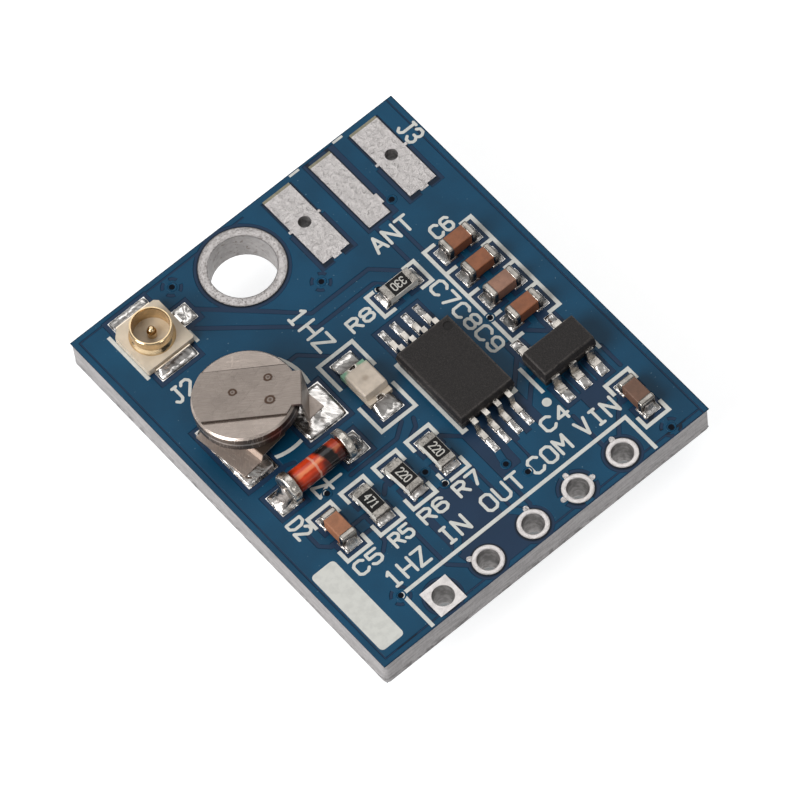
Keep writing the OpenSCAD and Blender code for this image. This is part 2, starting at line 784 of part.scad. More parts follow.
module diode_caps() {
    cap_r = diode_cap_d / 2;
    color(tin) along_diode() for (side = [0, 1]) mirror([0, 0, side]) rotate_extrude() polygon([
        [0, diode_l / 2 - diode_cap_l], [cap_r, diode_l / 2 - diode_cap_l],
        [cap_r, diode_l / 2 - diode_cap_edge], [cap_r - diode_cap_edge, diode_l / 2], [0, diode_l / 2]]);
}

module lamp_notches(r) {
    for (x = [-1, 1]) translate([x * lamp_l / 2, 0]) circle(r);
}

module lamp_base() {
    color([0.82, 0.8, 0.74]) on_pads(lamp_at, upright) translate([0, 0, lamp_foot_t])
        linear_extrude(lamp_base_t) difference() {
            square([lamp_l, lamp_w], center = true);
            lamp_notches(lamp_notch_r);
        }
}

module lamp_terminals() {
    color(tin) on_pads(lamp_at, upright) {
        linear_extrude(lamp_foot_t) difference() {
            square([lamp_l, lamp_w], center = true);
            square([lamp_l - 2 * lamp_foot_l, lamp_w + overrun], center = true);
            lamp_notches(lamp_notch_r - lamp_plating_t);
        }
        linear_extrude(lamp_foot_t + lamp_base_t) intersection() {
            square([lamp_l, lamp_w], center = true);
            difference() {
                lamp_notches(lamp_notch_r);
                lamp_notches(lamp_notch_r - lamp_plating_t);
            }
        }
    }
}

module lamp_lens() {
    levels = [0, lamp_lens_edge, lamp_lens_h - lamp_lens_edge, lamp_lens_h];
    color([0.85, 0.83, 0.78]) on_pads(lamp_at, upright) translate([0, 0, lamp_foot_t + lamp_base_t])
    intersection() {
        rotate([90, 0, 0]) linear_extrude(lamp_w, center = true)
            polygon([[-lamp_lens_l / 2, 0], [lamp_lens_l / 2, 0],
                     [lamp_lens_l / 2 - lamp_lens_lean, lamp_lens_h],
                     [lamp_lens_lean - lamp_lens_l / 2, lamp_lens_h]]);
        rotate([90, 0, 90]) linear_extrude(lamp_lens_l, center = true)
            barrel_side(lamp_w, lamp_lens_edge, levels);
    }
}

module memory_body() {
    color(mould_black) on_pads(memory_at) difference() {
        moulded_body(memory_w, memory_l, memory_h, memory_seam_z);
        translate([memory_w / 2 - memory_mark_inset[0], memory_l / 2 - memory_mark_inset[1],
                   body_lift + memory_h - memory_mark_depth])
            cylinder(d = memory_mark_d, h = memory_mark_depth + overrun);
    }
}

module memory_leads() {
    color(tin) on_pads(memory_at) both_ends() memory_rows()
        translate([memory_l / 2, 0, 0])
            lead((memory_span - memory_l) / 2, memory_lead_w, memory_seam_z);
}

module regulator_body() {
    color(mould_black) on_pads(regulator_at)
        moulded_body(regulator_w, regulator_l, regulator_h, regulator_seam_z);
}

module regulator_leads() {
    color(tin) on_pads(regulator_at) regulator_rows()
        translate([regulator_l / 2, 0, 0])
            lead((regulator_span - regulator_l) / 2, regulator_lead_w, regulator_seam_z);
}

// White ceramic plate of a resistor
module resistor_core(place) {
    color("white") on_pads(place) translate([0, 0, chip_end_t])
        block(chip_l - 2 * chip_end_t, chip_w, resistor_h - 2 * chip_end_t);
}

module resistor_coat(place) {
    color("black") on_pads(place) translate([0, 0, resistor_h - chip_end_t])
        block(chip_l - 2 * chip_end_l, chip_w - 2 * chip_end_t, resistor_coat_t);
}

// Metal strips folded round the two ends of a resistor
module resistor_ends(place) {
    color(tin) on_pads(place) rotate([90, 0, 0]) linear_extrude(chip_w, center = true) difference() {
        translate([-chip_l / 2, 0]) square([chip_l, resistor_h]);
        translate([chip_end_t - chip_l / 2, chip_end_t])
            square([chip_l - 2 * chip_end_t, resistor_h - 2 * chip_end_t]);
        translate([chip_end_l - chip_l / 2, -overrun])
            square([chip_l - 2 * chip_end_l, resistor_h + 2 * overrun]);
    }
}

module capacitor_core() {
    translate([0, 0, chip_end_t])
        block(chip_l - 2 * chip_end_t, chip_w - 2 * chip_end_t, capacitor_h - 2 * chip_end_t);
}

module capacitor_body(place) {
    color([0.55, 0.34, 0.24]) on_pads(place) capacitor_core();
}

// Metal cups over the two ends of a capacitor
module capacitor_ends(place) {
    color(tin) on_pads(place) difference() {
        linear_extrude(capacitor_h) round_rect(chip_l, chip_w, 2 * chip_end_t);
        capacitor_core();
        translate([0, 0, -overrun])
            block(chip_l - 2 * chip_end_l, chip_w + overrun, capacitor_h + 2 * overrun);
    }
}

// Carrier of the receiver, with half-round plated contacts along its two long edges
module receiver_carrier() {
    color("seagreen") translate([0, 0, can_h]) linear_extrude(carrier_t) difference() {
        translate([0, receiver_y]) square([receiver_l, receiver_w], center = true);
        receiver_contacts() circle(contact_r);
    }
}

module receiver_can() {
    color("lightgray") translate([0, receiver_y, 0]) difference() {
        linear_extrude(can_h) round_rect(can_l, can_w, can_corner_r);
        translate([0, 0, can_t]) linear_extrude(can_h)
            round_rect(can_l - 2 * can_t, can_w - 2 * can_t, can_corner_r - can_t);
    }
}

// Hangs a block from the underside of the carrier, inside the can
module in_can(place, size) {
    translate([place[0], receiver_y + place[1], can_h - size[2]]) block(size[0], size[1], size[2]);
}

module receiver_chip() {
    color(mould_black) in_can(receiver_chip_at, receiver_chip_size);
}

module receiver_oscillator() {
    color("gainsboro") in_can(receiver_oscillator_at, receiver_oscillator_size);
}

module receiver_filter() {
    color("darkgray") in_can(receiver_filter_at, receiver_filter_size);
}

module solder_joints() {
    chip_rise = 0.7;
    lamp_rise = 0.8;
    diode_rise = 0.6 * diode_cap_d;
    diode_width = 0.75 * diode_pad_w;
    earth_reach = 0.45;
    signal_reach = 0.6;
    tab_reach = [0.5, 0.6];
    color([0.8, 0.79, 0.78]) {
        for (place = resistor_places) on_pads(place) both_ends() translate([chip_l / 2, 0, 0])
            fillet(chip_pad_reach, chip_rise * resistor_h, chip_w);
        for (place = capacitor_places) on_pads(place) both_ends() translate([chip_l / 2, 0, 0])
            fillet(chip_pad_reach, chip_rise * capacitor_h, chip_w - 4 * chip_end_t);
        on_pads(memory_at) both_ends() memory_rows() translate([memory_span / 2, 0, 0])
            fillet((memory_pad_span - memory_span) / 2, lead_t, memory_lead_w);
        on_pads(regulator_at) regulator_rows() translate([regulator_span / 2, 0, 0])
            fillet((regulator_pad_span - regulator_span) / 2, lead_t, regulator_lead_w);
        on_pads(lamp_at, upright) {
            both_ends() translate([lamp_l / 2, 0, 0])
                fillet(lamp_pad_reach, lamp_foot_t + lamp_base_t, lamp_pad_w);
            linear_extrude(lamp_rise * (lamp_foot_t + lamp_base_t)) intersection() {
                square([lamp_l, lamp_w], center = true);
                lamp_notches(lamp_notch_r - lamp_plating_t);
            }
        }
        on_pads(diode_at) both_ends() translate([diode_l / 2, 0, 0])
            fillet(diode_pad_reach, diode_rise, diode_width);
        on_pads(coax_at) {
            for (side = [-90, 90]) rotate(side) translate([coax_w / 2 + coax_foot_reach, 0, 0])
                fillet(earth_reach, coax_foot_t, coax_foot_w);
            translate([coax_w / 2 + coax_strip_reach, 0, 0])
                fillet(signal_reach, coax_strip_t, coax_strip_w);
        }
        translate([cell_x, cell_y, seat_z]) rotate(cell_turn - 90)
            translate([-tab_lower_v, tab_lower_u + tab_lower_foot / 2, 0])
                fillet(tab_reach[0], tab_t, 0.9 * tab_lower_foot);
        tab_foot_frame() translate([tab_foot_w / 4, -tab_foot_w / 4, 0]) rotate(-45)
            fillet(tab_reach[1], tab_t, 0.5 * tab_foot_w);
    }
}

module receiver_solder() {
    color([0.8, 0.79, 0.78]) receiver_contacts() translate([0, 0, receiver_h]) mirror([0, 0, 1]) rotate(90)
        fillet(receiver_pad_reach, 0.7 * carrier_t, receiver_pad_w);
}

circuit_board();
mounting_hole_rings();
header_hole_rings();
edge_pads();
component_pads();
receiver_pads();
outline_print();
coax_housing();
coax_shell();
coax_contact();
backup_cell();
cell_top_tab();
cell_bottom_tab();
diode_glass();
diode_caps();
lamp_base();
lamp_lens();
lamp_terminals();
memory_body();
memory_leads();
regulator_body();
regulator_leads();
for (i = [1:4]) {
    resistor_core(resistor_places[i - 1]);
    resistor_coat(resistor_places[i - 1]);
    resistor_ends(resistor_places[i - 1]);
}
for (i = [1:6]) {
    capacitor_body(capacitor_places[i - 1]);
    capacitor_ends(capacitor_places[i - 1]);
}
receiver_carrier();
receiver_can();
receiver_chip();
receiver_oscillator();
receiver_filter();
solder_joints();
receiver_solder();
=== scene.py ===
"""Looks of a small satellite positioning board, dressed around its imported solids."""
import math

import bmesh
import bpy
import numpy as np
from mathutils import Matrix, Vector
from mathutils.geometry import delaunay_2d_cdt


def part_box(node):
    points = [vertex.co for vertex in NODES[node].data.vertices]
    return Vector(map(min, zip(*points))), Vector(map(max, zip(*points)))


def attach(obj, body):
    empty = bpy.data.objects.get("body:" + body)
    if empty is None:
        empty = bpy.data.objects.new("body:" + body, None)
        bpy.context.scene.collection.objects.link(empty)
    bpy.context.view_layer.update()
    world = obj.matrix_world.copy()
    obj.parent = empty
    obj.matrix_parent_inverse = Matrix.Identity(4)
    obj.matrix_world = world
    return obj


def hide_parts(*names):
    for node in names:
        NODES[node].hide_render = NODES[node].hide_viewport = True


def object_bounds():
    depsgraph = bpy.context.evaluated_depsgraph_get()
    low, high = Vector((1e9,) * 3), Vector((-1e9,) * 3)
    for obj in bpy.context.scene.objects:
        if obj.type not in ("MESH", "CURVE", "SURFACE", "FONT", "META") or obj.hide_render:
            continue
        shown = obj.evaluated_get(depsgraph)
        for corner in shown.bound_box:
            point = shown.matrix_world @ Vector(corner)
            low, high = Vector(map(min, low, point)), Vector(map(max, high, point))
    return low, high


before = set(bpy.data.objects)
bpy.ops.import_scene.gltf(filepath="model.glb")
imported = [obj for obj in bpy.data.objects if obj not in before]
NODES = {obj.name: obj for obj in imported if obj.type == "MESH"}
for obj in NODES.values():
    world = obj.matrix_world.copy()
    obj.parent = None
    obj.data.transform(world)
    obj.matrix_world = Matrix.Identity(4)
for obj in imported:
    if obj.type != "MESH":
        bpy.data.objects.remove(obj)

bl_info = {
    "name": "Positioning Board",
    "version": (1, 0, 0),
    "blender": (4, 5, 0),
    "location": "View3D > Sidebar > Board",
    "description": "Dresses the solids of a small positioning board with mask, print, solder and finishes",
    "category": "Object",
}

CAD_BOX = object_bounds()
MM = 0.001
BOARD_LOW, BOARD_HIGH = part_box("circuit_board")
BOARD_W = (BOARD_HIGH.x - BOARD_LOW.x) / MM
BOARD_L = (BOARD_HIGH.y - BOARD_LOW.y) / MM
PAD_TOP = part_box("component_pads")[1].z
INK_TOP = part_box("outline_print")[1].z

# Radii of the drilled holes in millimetres
MOUNT_BORE, HEADER_BORE, EDGE_BORE = 1.55, 0.5, 0.3


def linear(red, green, blue):
    """Colour as a shader takes it, from three screen values of 0 to 255."""
    shares = [value / 255 for value in (red, green, blue)]
    return tuple(s / 12.92 if s <= 10 / 255 else ((s + 0.055) / 1.055) ** 2.4 for s in shares)


def colour_prop(name, description, red, green, blue):
    return bpy.props.FloatVectorProperty(
        name=name, description=description, subtype="COLOR", size=3, min=0.0, max=1.0,
        default=linear(red, green, blue))


def size_prop(name, description, millimetres):
    return bpy.props.FloatProperty(
        name=name, description=description, default=millimetres * MM, min=0.0, unit="LENGTH", precision=6)


def power_prop(name, description, watts):
    return bpy.props.FloatProperty(name=name, description=description, default=watts, min=0.0, unit="POWER")


class BoardLook(bpy.types.PropertyGroup):
    mask: colour_prop("Mask", "Blue mask over the copper", 8, 66, 95)
    bare: colour_prop("Bare mask", "Darker mask where no copper lies below", 26, 50, 76)
    laminate: colour_prop("Laminate", "Cut edge of the glass-fibre board", 150, 147, 147)
    fleck: colour_prop("Fleck", "Dark fibres in the cut edge", 52, 49, 50)
    rise: size_prop("Copper rise", "Height of the masked copper above the bare board", 0.016)
    slope: size_prop("Slope", "Width of the slope at the rim of the masked copper", 0.05)
    clearance: size_prop("Clearance", "Bare gap around a pad", 0.23)
    groove: size_prop("Groove", "Width of the bare line beside a track", 0.25)
    via_ring: size_prop("Via ring", "Radius of the small ring around a via", 0.21)
    via_hole: size_prop("Via hole", "Radius of a via's dark hole", 0.13)


class PrintLook(bpy.types.PropertyGroup):
    ink: colour_prop("Ink", "White print", 212, 212, 206)
    stroke: size_prop("Stroke", "Width of a letter's stroke", 0.14)
    number: colour_prop("Number", "Print on the resistors", 198, 195, 188)
    number_stroke: size_prop("Number stroke", "Width of a resistor number's stroke", 0.055)


class MetalLook(bpy.types.PropertyGroup):
    tin: colour_prop("Tin", "Tinned pads and rings", 208, 203, 201)
    terminal: colour_prop("Terminal", "Leads, end caps and diode caps", 226, 219, 210)
    solder: colour_prop("Solder", "Solder fillets", 234, 230, 226)
    gold: colour_prop("Gold", "Antenna socket's contacts", 226, 200, 160)
    steel: colour_prop("Steel", "Cell and its tabs", 204, 190, 180)
    # The weld stain's colour, darkened, also serves as painted shade on the capacitor ends and up the solder
    stain: colour_prop("Weld stain", "Rings where the tab was welded", 84, 56, 38)
    can: colour_prop("Can", "Receiver's sheet can", 214, 211, 205)


class PieceLook(bpy.types.PropertyGroup):
    mould: colour_prop("Mould", "Black packages", 33, 30, 29)
    coat: colour_prop("Coat", "Black glaze of the resistors", 14, 13, 14)
    ceramic: colour_prop("Ceramic", "White plate of the resistors", 226, 222, 214)
    brown: colour_prop("Brown", "Capacitors of the column", 138, 82, 50)
    pale: colour_prop("Pale brown", "Third capacitor of the column", 148, 108, 88)
    tan: colour_prop("Tan", "Capacitor of the row", 156, 102, 70)
    dark: colour_prop("Dark brown", "Capacitor in the supply corner", 108, 76, 58)
    cream: colour_prop("Cream", "Antenna socket's moulded base", 212, 198, 178)
    resin: colour_prop("Resin", "Lamp's milky lens", 204, 190, 174)
    lamp: colour_prop("Lamp base", "Lamp's pale base", 198, 184, 166)
    mark: colour_prop("Lamp mark", "Green corners of the lamp", 104, 172, 140)
    glass: colour_prop("Glass", "Diode's red glass", 204, 62, 26)
    band: colour_prop("Band", "Diode's black band", 24, 20, 20)
    carrier: colour_prop("Carrier", "Receiver's green carrier", 34, 92, 58)


class StageLook(bpy.types.PropertyGroup):
    floor: colour_prop("Floor", "Plain pale floor", 246, 246, 246)
    camera_at: bpy.props.FloatVectorProperty(
        name="Camera", description="Place of the camera", size=3, unit="LENGTH",
        default=(-0.086007, -0.132342, 0.29686), precision=6)
    camera_turn: bpy.props.FloatVectorProperty(
        name="Camera turn", description="Rotation of the camera", size=3, subtype="EULER",
        default=(math.radians(27.8903), math.radians(3.8711), math.radians(-40.4249)))
    lens: bpy.props.FloatProperty(
        name="Lens", description="Focal length on a sensor 36 mm wide", unit="CAMERA",
        default=345.784, min=20.0)
    key: power_prop("Key light", "Power of the soft light from the left", 1.3)
    fill: power_prop("Fill light", "Power of the soft light above", 0.17)
    front: power_prop("Front light", "Power of the small light in front", 0.07)
    room: bpy.props.FloatProperty(
        name="Room", description="Strength of the light from all around", default=0.31, min=0.0)
    glow: bpy.props.FloatProperty(
        name="Floor glow", description="Light that the floor gives of its own", default=0.88, min=0.0)


class Value:
    """A shader socket that takes part in Python sums."""

    def __init__(self, look, socket):
        self.look = look
        self.socket = socket

    def sum(self, operation, *inputs):
        return self.look.node("ShaderNodeMath", {"operation": operation}, dict(enumerate(inputs)))

    def __add__(self, other):
        return self.sum("ADD", self, other)

    def __radd__(self, other):
        return self.sum("ADD", other, self)

    def __sub__(self, other):
        return self.sum("SUBTRACT", self, other)

    def __rsub__(self, other):
        return self.sum("SUBTRACT", other, self)

    def __mul__(self, other):
        return self.sum("MULTIPLY", self, other)

    def __rmul__(self, other):
        return self.sum("MULTIPLY", other, self)

    def __truediv__(self, other):
        return self.sum("DIVIDE", self, other)

    def __rtruediv__(self, other):
        return self.sum("DIVIDE", other, self)

    def __pow__(self, other):
        return self.sum("POWER", self, other)

    def __abs__(self):
        return self.sum("ABSOLUTE", self)

    def most(self, other):
        return self.sum("MAXIMUM", self, other)

    def least(self, other):
        return self.sum("MINIMUM", self, other)


class Look:
    """One material, with a method for any node and short ones for those that recur."""

    def __init__(self, name, **constants):
        self.material = bpy.data.materials.new(name)
        self.material.use_nodes = True
        self.tree = self.material.node_tree
        self.shader = self.tree.nodes["Principled BSDF"]
        self.place = self.node("ShaderNodeTexCoord", out="Object")
        self.set(**constants)

    def node(self, kind, settings=None, inputs=None, out=0):
        made = self.tree.nodes.new(kind)
        for name, value in (settings or {}).items():
            setattr(made, name, value)
        for key, value in (inputs or {}).items():
            self.feed(made.inputs[key], value)
        return Value(self, made.outputs[out])

    def feed(self, socket, value):
        if isinstance(value, Value):
            self.tree.links.new(value.socket, socket)
        elif socket.type == "RGBA" and len(value) == 3:
            socket.default_value = (*value, 1.0)
        else:
            socket.default_value = value

    def set(self, **inputs):
        """Feeds the shader's sockets, whose names are written with underscores."""
        for name, value in inputs.items():
            self.feed(self.shader.inputs[name.replace("_", " ")], value)

    def axes(self):
        """Place on the object in millimetres, as three values."""
        split = self.node("ShaderNodeSeparateXYZ", None, {0: self.place}).socket.node
        return [Value(self, socket) * (1 / MM) for socket in split.outputs]

    def grain(self, *lengths, turn=0.0, detail=2.0, rough=0.5):
        """Noise whose features have these lengths in millimetres, along axes turned about Z."""
        where = self.node("ShaderNodeMapping", {"vector_type": "TEXTURE"}, {
            "Vector": self.place, "Rotation": (0.0, 0.0, math.radians(turn)),
            "Scale": tuple(length * MM for length in lengths)})
        return self.node("ShaderNodeTexNoise", None, {
            "Vector": where, "Scale": 1.0, "Detail": detail, "Roughness": rough})

    def ease(self, value, low, high):
        """Smooth step from 0 at low to 1 at high."""
        return self.node("ShaderNodeMapRange", {"interpolation_type": "SMOOTHSTEP"}, {
            "Value": value, "From Min": low, "From Max": high})

    def band(self, value, low, high, soft):
        """1 between low and high, easing out over a soft width at each end."""
        return self.ease(value, low - soft, low) * (1 - self.ease(value, high, high + soft))

    def mix(self, share, first, second):
        first, second = [c if isinstance(c, Value) or len(c) == 4 else (*c, 1.0) for c in (first, second)]
        return self.node("ShaderNodeMix", {"data_type": "RGBA"}, {0: share, 6: first, 7: second}, 2)

    def bump(self, height, micrometres, strength=1.0):
        return self.node("ShaderNodeBump", None, {
            "Strength": strength, "Distance": micrometres * 1e-6, "Height": height})

    def away(self, x, y, centre):
        """Distance in millimetres from an upright line."""
        return ((x - centre[0]) ** 2 + (y - centre[1]) ** 2) ** 0.5


def shade(colour, factor):
    return tuple(min(1.0, c * factor) for c in colour)


def mask_finish(board):
    """Satin solder mask with a faint cloud, a fine grain and specks, and painted shade down the copper's
    slopes.
    """
    look = Look("mask_blue", IOR=1.4, Specular_IOR_Level=0.3)
    _, _, z = look.axes()
    middle, half = (BOARD_LOW.z + BOARD_HIGH.z) / 2 / MM, (BOARD_HIGH.z - BOARD_LOW.z) / 2 / MM
    flat = look.ease(abs(z - middle), half, half + 0.9 * board.rise / MM)
    cloud = look.grain(2.5, 2.5, 2.5, detail=3.0)
    fine = look.grain(0.07, 0.07, 0.07, detail=3.0)
    weave = look.grain(0.5, 0.09, 0.5) + look.grain(0.09, 0.5, 0.5)
    speck = look.ease(look.grain(0.13, 0.13, 0.13, detail=0.0), 0.82, 0.87)
    tone = look.mix(look.ease(cloud + 0.25 * fine, 0.4, 0.85), shade(board.mask, 0.86),
                    shade(board.mask, 1.14))
    tone = look.mix(speck * 0.4, tone, linear(120, 150, 165))
    # Painted shade: the mask turns dark below the top of the masked copper, down its slopes
    tone = look.mix(flat, shade(board.bare, 0.45), tone)
    look.set(Base_Color=tone, Roughness=0.3 + 0.14 * fine,
             Normal=look.bump(0.5 * fine + 0.25 * weave, 6.0, 0.6))
    return look.material


def from_header_hole(look, x, y):
    """Distance in millimetres from the axis of the nearest header hole."""
    row = hole_places("header_hole_rings")
    pitch = (row[-1].x - row[0].x) / MM / (len(row) - 1)
    along = look.node("ShaderNodeMath", {"operation": "WRAP"}, {
        0: x - row[0].x / MM, 1: pitch / 2, 2: -pitch / 2})
    return look.away(along, y, (0.0, row[0].y / MM))


def from_mounting_hole(look, x, y):
    place = hole_places("mounting_hole_rings")[0]
    return look.away(x, y, (place.x / MM, place.y / MM))


def board_finish(board, metal):
    """Bare mask on the two faces, streaked laminate on the cut edges, tin darkened as painted shade on the
    walls of the holes.
    """
    look = Look("board_laminate", IOR=1.4, Specular_IOR_Level=0.3)
    x, y, z = look.axes()
    low, high = BOARD_LOW.z / MM, BOARD_HIGH.z / MM
    face = look.ease(abs(z - (low + high) / 2), (high - low) / 2 - 0.004, (high - low) / 2 - 0.002)
    streak = look.grain(0.8, 0.8, 0.12, detail=4.0, rough=0.65)
    fibre = look.grain(0.06, 0.06, 0.3, detail=3.0)
    blotch = look.grain(0.4, 0.4, 0.2, detail=3.0, rough=0.65)
    fleck = look.ease(blotch, 0.46, 0.62) * (1 - look.ease(z, low + 0.12, low + 0.6))
    edge = look.mix(look.ease(0.75 * streak + 0.25 * fibre, 0.35, 0.65), shade(board.laminate, 0.74),
                    shade(board.laminate, 1.12))
    edge = look.mix(fleck * 0.65, edge, board.fleck)
    mount = look.ease(from_mounting_hole(look, x, y), MOUNT_BORE + 0.07, MOUNT_BORE + 0.03)
    header = from_header_hole(look, x, y)
    wall = look.ease(header, HEADER_BORE + 0.06, HEADER_BORE + 0.02).most(mount)
    for place in hole_places("edge_pads"):
        reach = look.away(x, y, (place.x / MM, place.y / MM))
        wall = wall.most(look.ease(reach, EDGE_BORE + 0.04, EDGE_BORE + 0.01))
    plated = wall * (1 - face)
    pits = look.grain(0.25, 0.25, 0.25, detail=4.0)
    # Painted shade: the holes' tin walls are a darkened copy of the tin, less dark in the wide mounting hole;
    # the dark pits are real
    barrel = look.mix(look.ease(pits, 0.35, 0.7), shade(metal.tin, 0.3), shade(metal.tin, 0.56))
    barrel = look.mix(mount * 0.5, barrel, shade(metal.tin, 0.78))
    dark_pits = look.ease(look.grain(0.2, 0.2, 0.2, detail=4.0, rough=0.7), 0.56, 0.66)
    barrel = look.mix(dark_pits * mount * 0.5, barrel, shade(metal.stain, 0.9))
    cloud = look.grain(1.5, 1.5, 1.5, detail=3.0)
    bare = look.mix(cloud, shade(board.bare, 0.85), shade(board.bare, 1.2))
    left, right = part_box("mounting_hole_rings")
    ring = (right.x - left.x) / 2 / MM
    # Painted shadow: a dark outline just outside the mounting ring, the header rings and the edge pads
    gap = look.band(from_mounting_hole(look, x, y), ring - 0.1, ring + 0.04, 0.07)
    gap = gap.most(look.band(header, 0.6, 0.78, 0.07))
    for start, end, near in edge_pad_sides():
        gap = gap.most(look.band((start - x).most(x - end).most(near - y), -0.1, 0.04, 0.07))
    bare = look.mix(gap * 0.75, bare, shade(board.bare, 0.15))
    look.set(Base_Color=look.mix(face, look.mix(plated, edge, barrel), bare), Metallic=plated * 0.6,
             Roughness=0.62 - 0.25 * face - 0.12 * plated,
             Normal=look.bump(streak * (1 - face) + 0.3 * pits, 12.0, 0.6))
    return look.material


def tin_finish(name, metal, factor=1.2, ring=None, end=None, specks=0.0):
    """Hot-levelled tin with creases, domed round a hole with painted shade at its rims, dull with specks, bare
    laminate by an end.
    """
    look = Look(name, Metallic=1.0)
    grit = look.grain(0.05, 0.05, 0.05, detail=3.0)
    crease = look.grain(0.26, 0.26, 0.26, detail=4.0, rough=0.55)
    height = 0.09 * crease + 0.006 * grit
    if ring:
        x, y, _ = look.axes()
        reach, inner, outer, steep, start = ring
        offset = (reach(look, x, y) - (inner + outer) / 2) * (2 / (outer - inner))
        dome = steep * (outer - inner) * offset.least(1.1) ** 2.0 * look.ease(x, start, start + 0.1)
        height = 0.3 * height - dome
    tone = look.mix(look.ease(0.3 * grit + 0.7 * crease, 0.3, 0.7), shade(metal.tin, 0.8 * factor),
                    shade(metal.tin, 1.05 * factor))
    if ring:
        # Painted shade: thin dark lines along the inner and outer rims of a domed ring
        wave = 0.3 * (crease - 0.5)
        outer_rim_shade = look.ease(wave + offset, 0.76, 1.0) * look.ease(x, start, start + 0.1)
        rim = outer_rim_shade.most(look.ease(wave - offset, 0.76, 1.0))
        tone = look.mix(rim * 0.8, tone, shade(metal.tin, 0.3))
    if specks:
        speck = look.ease(look.grain(0.09, 0.09, 0.09, detail=4.0, rough=0.7), 0.5, 0.68)
        tone = look.mix(speck * specks, tone, shade(metal.stain, 1.1))
        height = height - 0.004 * speck
    if end:
        _, y, _ = look.axes()
        bare = look.ease(y, end - 0.15, end - 0.12)
        tone = look.mix(bare, tone, linear(138, 133, 112))
        look.set(Metallic=1 - bare)
    look.set(Base_Color=tone, Roughness=0.24 + 0.2 * grit, Normal=look.bump(height, 1000.0))
    return look.material


def terminal_finish(metal, name="terminal_tin", factor=1.0, dents=0.03, top=None):
    """Bright tin plating with shallow dents and duller patches, and painted shade below a chip's top."""
    look = Look(name, Metallic=1.0)
    grit = look.grain(0.05, 0.05, 0.05, detail=3.0)
    dent = look.grain(0.22, 0.22, 0.22, detail=2.0)
    dull = look.grain(0.5, 0.5, 0.35, detail=3.0)
    tone = look.mix(look.ease(dull, 0.35, 0.65), shade(metal.terminal, 0.62 * factor),
                    shade(metal.terminal, 1.06 * factor))
    if top:
        _, _, z = look.axes()
        # Painted shade: the end cups darken below the chip's top, in a darkened weld-stain colour
        tone = look.mix(look.ease(z + 0.1 * (dull - 0.5), top - 0.1, top - 0.3) * 0.7, tone,
                        shade(metal.stain, 0.62))
    look.set(Base_Color=tone, Roughness=0.14 + 0.26 * dull,
             Normal=look.bump(0.004 * grit + dents * dent, 1000.0))
    return look.material


def solder_finish(metal):
    """Bright solder, smooth with shallow folds where it flowed, a few dull patches and painted shade where it
    climbs.
    """
    look = Look("solder_bright", Metallic=1.0)
    flow = look.grain(0.5, 0.5, 0.5, detail=1.0, rough=0.4)
    fold = look.grain(0.16, 0.55, 0.3, turn=35, detail=1.5, rough=0.4)
    patch = look.grain(0.7, 0.7, 0.7, detail=1.0)
    _, _, z = look.axes()
    pad = PAD_TOP / MM
    tone = look.mix(look.ease(0.6 * fold + 0.4 * flow, 0.36, 0.6), shade(metal.solder, 0.6),
                    shade(metal.solder, 1.15))
    # Painted shade: the solder darkens, in the weld stain's colour, as it climbs above the pad
    climb = look.ease(z + 0.1 * (flow - 0.5), pad + 0.06, pad + 0.3)
    tone = look.mix(climb * 0.55, tone, shade(metal.stain, 0.9))
    look.set(Base_Color=tone, Roughness=0.16 + 0.2 * patch,
             Normal=look.bump(0.065 * flow + 0.03 * fold, 1000.0))
    return look.material


def gold_finish(metal):
    """Pale gold plating, tinned over where the feet lie below the top of the socket's base."""
    look = Look("contact_gold", Metallic=1.0)
    x, y, z = look.axes()
    wear = look.grain(0.3, 0.3, 0.2, detail=3.0)
    turned = look.grain(0.8, 0.8, 0.03, detail=2.0)
    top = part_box("coax_housing")[1].z / MM
    tone = look.mix(look.ease(wear, 0.35, 0.7), shade(metal.gold, 0.8), shade(metal.gold, 1.06))
    foot = look.ease(z, top - 0.1, top - 0.2) * look.ease(look.away(x, y, socket_middle()), 0.9, 1.0)
    tone = look.mix(foot, tone, metal.solder)
    look.set(Base_Color=tone, Roughness=0.08 + 0.16 * wear, Normal=look.bump(turned + 0.4 * wear, 5.0, 0.5))
    return look.material


